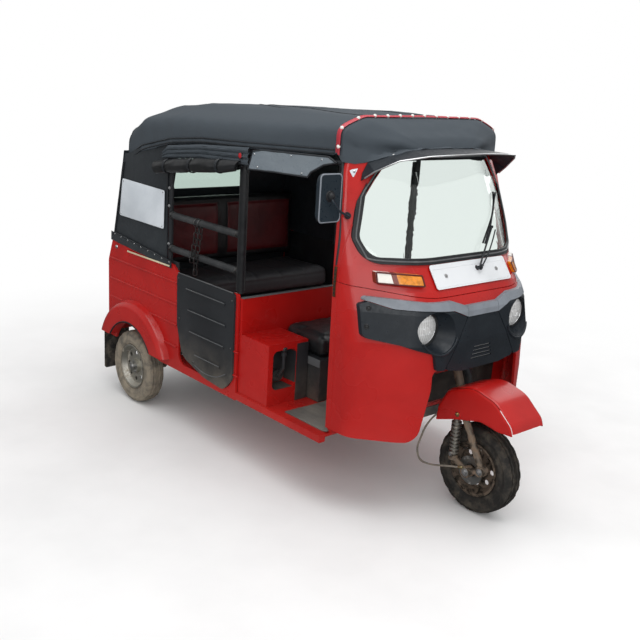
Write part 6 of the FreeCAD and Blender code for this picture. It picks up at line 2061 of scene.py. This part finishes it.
@dataclass
class Wheels:
    """Treaded tyres, wheel nuts, hub caps and valves."""

    radius: float = REAR_AXLE[2]
    half: float = 0.051
    bead: float = 0.117
    seat: float = 0.0366
    tread_half: float = 0.037
    groove: float = 0.006
    steps: int = 66
    nut_circle: float = 0.029
    valve_circle: float = 0.098
    valve_turn: float = 0.9

    def build(self) -> None:
        """Makes what each wheel carries."""
        x, y, z = REAR_AXLE
        for side, body, centre, finish in ((-1.0, Body.RIGHT_WHEEL, (-x, y, z), Finishes.TYRE_REAR),
                                           (1.0, Body.LEFT_WHEEL, (x, y, z), Finishes.TYRE_REAR),
                                           (-1.0, Body.FRONT_WHEEL, FRONT_AXLE, Finishes.TYRE_FRONT)):
            self.tyre(centre, body, finish)
            self.fittings(centre, side, body)

    def tyre(self, centre: Point, body: Body, finish: Finish) -> None:
        """Makes a tyre with zigzag grooves and ringed walls.

        Args:
            centre: the middle of the wheel.
            body: the wheel it rides on.
            finish: the rubber.
        """
        r, w = self.radius, self.half
        half_rows = [(self.bead, self.seat), (self.bead + 0.011, self.seat + 0.001), (self.bead + 0.020, w - 0.004),
                     (self.bead + 0.034, w), (self.bead + 0.037, w + 0.0012), (self.bead + 0.040, w),
                     (r - 0.030, w - 0.001), (r - 0.024, w + 0.0012), (r - 0.014, w - 0.004), (r - 0.0055, 0.0405),
                     (r - 0.0030, self.tread_half)]
        tread = [(r - 0.0012, 0.0265), (r - self.groove - 0.001, 0.0245), (r - self.groove - 0.001, 0.0205),
                 (r - 0.0004, 0.0185), (r, 0.0085), (r - self.groove, 0.0065), (r - self.groove, 0.0025)]
        outer = half_rows + tread + [(r, 0.0005)]
        profile = outer + [(a, -b) for a, b in reversed(outer)]
        shape = Shape()
        shape.turned(profile, centre, (1, 0, 0), self.steps, True)
        hub = Vector(centre)
        for vert in shape.bm.verts:
            arm = vert.co - hub
            reach = math.hypot(arm.y, arm.z)
            tooth = round(math.atan2(arm.z, arm.y) / (2 * math.pi) * self.steps)
            if reach > r - 0.008 and abs(arm.x) < 0.030:
                vert.co.x += 0.0022 if tooth % 2 else -0.0022
            elif reach > r - 0.016 and abs(arm.x) > 0.034 and tooth % 3 == 0:
                vert.co -= Vector((0.0, arm.y, arm.z)).normalized() * 0.0032
        shape.piece(body.value + "_tread", finish, "tyre_rubber", (body.value + "_tyre",), body)

    def fittings(self, centre: Point, side: float, body: Body) -> None:
        """Makes a wheel's nuts, valve, cap and the lips of its rim.

        Args:
            centre: the middle of the wheel.
            side: the way it faces.
            body: the wheel it rides on.
        """
        x, y, z = centre
        front = body == Body.FRONT_WHEEL
        out = Vector((side, 0.0, 0.0))
        nuts = Shape()
        face = x + side * 0.0345
        web = x + side * 0.017
        spots = [(y + along, z + up) for along, up in around(self.nut_circle, 18.0, 306.0, 4)]
        for along, up in spots:
            nuts.bolt((face - side * 0.001, along, up), out, 0.0065, 0.005)
        reach, turn = self.valve_circle, self.valve_turn
        valve = (web, y + reach * math.cos(turn), z + reach * math.sin(turn))
        nuts.disc(valve, Vector(valve) + out * 0.026, 0.0036, 0.0028)
        if front:
            for along, up in spots:
                nuts.bolt((x + 0.0335, along, up), -out, 0.0065, 0.005)
        nuts.piece(body.value + "_nuts", Finishes.CAST, "bare_steel", body=body)
        if not front:
            cap = Shape()
            cap.turned([(0.018, -0.001), (0.018, 0.008), (0.015, 0.016), (0.007, 0.019), (0.0, 0.0195)],
                       (face, y, z), out, 28)
            cap.piece(body.value + "_cap", Finishes.CAST, "bare_steel", body=body)
        beads = Shape()
        for along in (-1.0, 1.0):
            beads.turned([(0.1225, 0.0), (0.1262, 0.0012), (0.1262, 0.0036), (0.1225, 0.0046)],
                         (x + along * 0.0405, y, z), (along, 0, 0), 48, True)
        beads.piece(body.value + "_rim_lip", Finishes.RIM_FRONT if front else Finishes.RIM, "rim_paint", body=body)


@dataclass
class FrontFork:
    """Nuts, brake plate, hose ends and mudguard bolts at the front wheel."""

    pivot: Sequence[float] = (-1.138, 0.236)
    hose_start: Point = (-0.090, -0.9504, 0.443)
    hose_end: Point = (-0.1035, -1.050, 0.226)

    def build(self) -> None:
        """Makes every fine piece of the fork."""
        self.nuts()
        self.mudguard()

    def nuts(self) -> None:
        """Makes the axle nuts, the pivot bolts, the brake plate and the hose's fittings."""
        _, y, z = FRONT_AXLE
        nuts = Shape()
        for side, _ in SIDES:
            nuts.bolt((side * 0.0975, y, z), (side, 0, 0), 0.013, 0.009)
            nuts.bolt((side * 0.0995, *self.pivot), (side, 0, 0), 0.011, 0.008)
            nuts.disc((side * 0.100, -0.974, 0.262), (side * 0.108, -0.974, 0.262), 0.009, edge=0.001, sides=6)
        nuts.piece("fork_nuts", Finishes.STEEL, "bare_steel", body=Body.STEERING)
        plate = Shape()
        plate.turned([(0.030, 0.0), (0.062, 0.001), (0.066, 0.006), (0.066, 0.013), (0.062, 0.013), (0.030, 0.010)],
                     (-0.0475, y, z), (-1, 0, 0), 40, True)
        plate.piece("front_brake_plate", Finishes.CAST, "bare_steel", body=Body.STEERING)
        fittings = Shape()
        start, end = Vector(self.hose_start), Vector(self.hose_end)
        fittings.disc(start, start + Vector((-0.0025, 0.0175, -0.0034)), 0.0075, 0.0065, 0.001, 14)
        fittings.disc(end, end + Vector((-0.0055, 0.0215, -0.0045)), 0.0072, 0.0062, 0.001, 14)
        fittings.piece("hose_fittings", Finishes.BRASS, "bare_steel", body=Body.STEERING)

    def mudguard(self) -> None:
        """Makes the bolts on the mudguard's sides."""
        skin = Skin("front_fender")
        bolts = Shape()
        for side, _ in SIDES:
            found = skin.cast((side * 0.3, -0.996, 0.462), (-side, 0, 0))
            if found:
                bolts.bolt(found[0], (side, 0, 0), 0.0075, 0.005)
        bolts.piece("mudguard_bolts", Finishes.BRASS, "bare_steel", body=Body.STEERING)


@dataclass
class Rear:
    """Lamp rims, flare beads and screws, mud flap bolts, and the hatch's border and latch."""

    face_y: float = 1.262
    arch: float = 0.2585
    flare: float = 0.369

    def build(self) -> None:
        """Makes every fine piece of the tail."""
        self.lamps()
        self.flares()
        self.hatch()

    def lamps(self) -> None:
        """Makes the bright rims of the tail lamps."""
        rims = Shape()
        for z in (0.604, 0.516):
            line = rounded((-0.536, z + 0.004), (-0.454, z + 0.074), 0.014)
            rims.tube([(x, self.face_y + 0.0265, h) for x, h in line], 0.003, closed=True, steps=5)
            for h in (z + 0.012, z + 0.066):
                rims.dome((-0.495, self.face_y + 0.0262, h), (0, 1, 0), 0.004, 0.002)
        rims.twin()
        rims.piece("tail_lamp_rims", Finishes.CHROME, "bare_steel")

    def flares(self) -> None:
        """Makes the dark bead round each flare's opening, the flare's screws and the mud flaps' bolts."""
        beads = Shape()
        _, y, z = REAR_AXLE
        beads.tube([(-0.6495, y + along, z + up) for along, up in around(self.arch, 33.0, 147.0, 24)], 0.0045, steps=3)
        beads.twin()
        beads.piece("flare_beads", Finishes.GASKET, "black_rubber")
        screws = Shape()
        for along, up in around(self.flare, 30.0, 142.0, 4):
            way = (-0.9, 0.3 * along / self.flare, 0.4 * up / self.flare)
            screws.dome((-0.6075, y + along, z + up), way, 0.0055, 0.003)
        screws.twin()
        screws.piece("flare_screws", Finishes.STEEL, "bare_steel")
        flaps = Shape()
        for x in (-0.60, -0.55, -0.50):
            flaps.bolt((x, 1.2555, 0.325), (0, -1, 0.0), 0.006, 0.003)
        flaps.twin()
        flaps.piece("mud_flap_bolts", Finishes.STEEL, "bare_steel")

    def hatch(self) -> None:
        """Makes the hatch's pressed border and its latch."""
        border = Shape()
        y = self.face_y + 0.0005
        line = rounded((-0.322, 0.425), (0.322, 0.675), 0.022)
        border.tube([(x, y, z) for x, z in line], 0.004, closed=True, steps=5)
        border.piece("hatch_border", Finishes.RED, "red_paint", body=Body.HATCH)
        latch = Shape()
        latch.turned([(0.0, 0.0), (0.016, 0.0), (0.016, 0.003), (0.011, 0.006), (0.0, 0.007)],
                     (0.0, self.face_y + 0.0155, 0.440), (0, 1, 0), 28)
        latch.box((-0.020, self.face_y + 0.0185, 0.4365), (0.020, self.face_y + 0.0265, 0.4435), 0.0025)
        latch.piece("hatch_latch", Finishes.CHROME, "bare_steel", body=Body.HATCH)


@dataclass
class Underbody:
    """Cooling fins, half shafts and their boots, seen from below and behind."""

    engine_half: float = 0.200
    boot: Sequence[tuple[float, float]] = ((0.012, 0.060), (0.018, 0.052), (0.016, 0.045), (0.024, 0.037),
                                           (0.021, 0.030), (0.030, 0.021), (0.026, 0.014), (0.036, 0.005), (0.036, 0.0),
                                           (0.010, 0.0))

    def build(self) -> None:
        """Makes every fine piece under the body."""
        fins = Shape()
        for k in range(9):
            z = 0.300 + 0.024 * k
            fins.box((-self.engine_half - 0.010, 0.800, z), (self.engine_half + 0.010, 1.122, z + 0.006), 0.0015, 1)
        fins.box((-0.150, 0.820, 0.192), (0.150, 1.060, 0.202), 0.004)
        _, y, z = REAR_AXLE
        fins.disc((0.0, y, 0.186), (0.0, y, 0.196), 0.014, edge=0.001, sides=6)
        fins.piece("engine_fins", Finishes.CAST, "engine_cast")
        shafts = Shape()
        boots = Shape()
        for side, _ in SIDES:
            inner = Vector((side * self.engine_half, y, 0.250))
            outer = Vector((side * 0.425, y, z + 0.002))
            run = (outer - inner).normalized()
            shafts.disc(inner, outer, 0.011, sides=20)
            for foot, way in ((inner, run), (outer, -run)):
                boots.turned(self.boot, foot, way, 24, True)
        shafts.piece("half_shafts", Finishes.STEEL, "bare_steel")
        boots.piece("shaft_boots", Finishes.GASKET, "black_rubber")


@dataclass
class Studio:
    """Floor, sky, lamps and the camera."""

    eye: Point = (-3.006, -3.269, 1.869)
    yaw: float = -42.0
    down: float = 15.65
    roll: float = -3.59
    focal_px: float = 879.3
    image_px: float = 640.0
    sensor: float = 36.0
    floor_size: float = 60.0
    sky: float = 0.72
    mirrored_sky: float = 0.42
    clear_floor: float = 1.5
    white_floor: float = 3.8

    def build(self) -> None:
        """Makes the whole stage."""
        self.camera()
        self.floor()
        self.world()
        self.lamp("top_lamp", (-0.5, -0.8, 5.5), (0.0, 0.0, 0.8), 5.0, 190.0)
        self.lamp("front_lamp", (-4.5, -5.5, 3.6), (0.0, -0.3, 0.8), 4.0, 120.0)
        self.lamp("left_lamp", (5.0, 1.0, 3.5), (0.0, 0.0, 0.8), 4.0, 60.0)

    def camera(self) -> None:
        """Sets the camera where the picture was taken from."""
        yaw, down, roll = (math.radians(a) for a in (self.yaw, self.down, self.roll))
        ahead = Vector((-math.sin(yaw) * math.cos(down), math.cos(yaw) * math.cos(down), -math.sin(down)))
        level = Vector((math.cos(yaw), math.sin(yaw), 0.0))
        under = ahead.cross(level)
        right = math.cos(roll) * level + math.sin(roll) * under
        below = -math.sin(roll) * level + math.cos(roll) * under
        turn = Matrix((right, -below, -ahead)).transposed().to_4x4()
        data = bpy.data.cameras.new("camera")
        data.sensor_width = self.sensor
        data.lens = self.focal_px * self.sensor / self.image_px
        camera = bpy.data.objects.new("camera", data)
        bpy.context.scene.collection.objects.link(camera)
        camera.matrix_world = Matrix.Translation(self.eye) @ turn
        bpy.context.scene.camera = camera

    def floor(self) -> None:
        """Lays the pale floor."""
        bm = bmesh.new()
        bmesh.ops.create_grid(bm, x_segments=1, y_segments=1, size=self.floor_size / 2)
        mesh = bpy.data.meshes.new("floor")
        bm.to_mesh(mesh)
        bm.free()
        floor = bpy.data.objects.new("floor", mesh)
        bpy.context.scene.collection.objects.link(floor)
        graph = Graph("pale_floor")
        path = graph.add("ShaderNodeLightPath")
        shade = graph.mix((0.80, 0.80, 0.80), (0.75, 0.75, 0.75), graph.ramp(graph.noise(1.5, 5.0), 0.35, 0.7))
        through = path.outputs["Is Transmission Ray"]
        mirrored = graph.maths("SUBTRACT", path.outputs["Is Glossy Ray"], through)
        shade = graph.mix(shade, (0.10, 0.10, 0.10), mirrored)
        graph.set(Base_Color=shade, Roughness=0.9, Specular_IOR_Level=0.1)
        reach = graph.add("ShaderNodeVectorMath", operation="LENGTH")
        graph.feed(reach.inputs[0], graph.coords)
        white = graph.add("ShaderNodeEmission")
        white.inputs["Color"].default_value = (1.0, 1.0, 1.0, 1.0)
        blend = graph.add("ShaderNodeMixShader")
        far = graph.ramp(reach.outputs["Value"], self.clear_floor, self.white_floor)
        seen = graph.maths("MAXIMUM", path.outputs["Is Camera Ray"], through)
        graph.feed(blend.inputs[0], graph.maths("MULTIPLY", far, seen))
        graph.feed(blend.inputs[1], graph.shader.outputs[0])
        graph.feed(blend.inputs[2], white.outputs[0])
        output = next(node for node in graph.material.node_tree.nodes if node.type == "OUTPUT_MATERIAL")
        graph.feed(output.inputs["Surface"], blend.outputs[0])
        floor.data.materials.append(graph.material)

    def world(self) -> None:
        """Lights the scene with a plain sky that looks white to the camera."""
        world = bpy.data.worlds.new("sky")
        bpy.context.scene.world = world
        world.use_nodes = True
        nodes, links = world.node_tree.nodes, world.node_tree.links
        path = nodes.new("ShaderNodeLightPath")
        seen = nodes.new("ShaderNodeMath")
        seen.operation = "MAXIMUM"
        strength = nodes.new("ShaderNodeMapRange")
        strength.inputs["To Min"].default_value = self.sky
        strength.inputs["To Max"].default_value = 1.0
        glossy = nodes.new("ShaderNodeMath")
        glossy.operation = "MULTIPLY_ADD"
        glossy.inputs[1].default_value = self.mirrored_sky - self.sky
        links.new(path.outputs["Is Camera Ray"], seen.inputs[0])
        links.new(path.outputs["Is Transmission Ray"], seen.inputs[1])
        links.new(seen.outputs[0], strength.inputs["Value"])
        only = nodes.new("ShaderNodeMath")
        only.operation = "SUBTRACT"
        links.new(path.outputs["Is Glossy Ray"], only.inputs[0])
        links.new(path.outputs["Is Transmission Ray"], only.inputs[1])
        links.new(only.outputs[0], glossy.inputs[0])
        links.new(strength.outputs[0], glossy.inputs[2])
        background = nodes["Background"]
        background.inputs["Color"].default_value = (1.0, 1.0, 1.0, 1.0)
        links.new(glossy.outputs[0], background.inputs["Strength"])
        bpy.context.scene.view_settings.view_transform = "Standard"

    def lamp(self, name: str, place: Point, target: Point, size: float, power: float) -> None:
        """Hangs one soft area lamp.

        Args:
            name: the lamp's name.
            place: where it hangs.
            target: what it faces.
            size: its side.
            power: its power in watts.
        """
        data = bpy.data.lights.new(name, "AREA")
        data.size = size
        data.energy = power
        lamp = bpy.data.objects.new(name, data)
        bpy.context.scene.collection.objects.link(lamp)
        aim = (Vector(target) - Vector(place)).to_track_quat("-Z", "Y")
        lamp.matrix_world = Matrix.Translation(place) @ aim.to_matrix().to_4x4()


def main() -> None:
    """Builds the stage and dresses the vehicle."""
    logging.basicConfig(level=logging.INFO, format="%(name)s: %(message)s")
    Studio().build()
    dress_nodes()
    for assembly in (Hood(), SideCurtains(), FrontFace(), Windscreen(), Cab(), DoorAndBars(), Wheels(), FrontFork(),
                     Rear(), Underbody()):
        log.info("building %s", type(assembly).__name__)
        assembly.build()


if __name__ == "__main__":
    main()
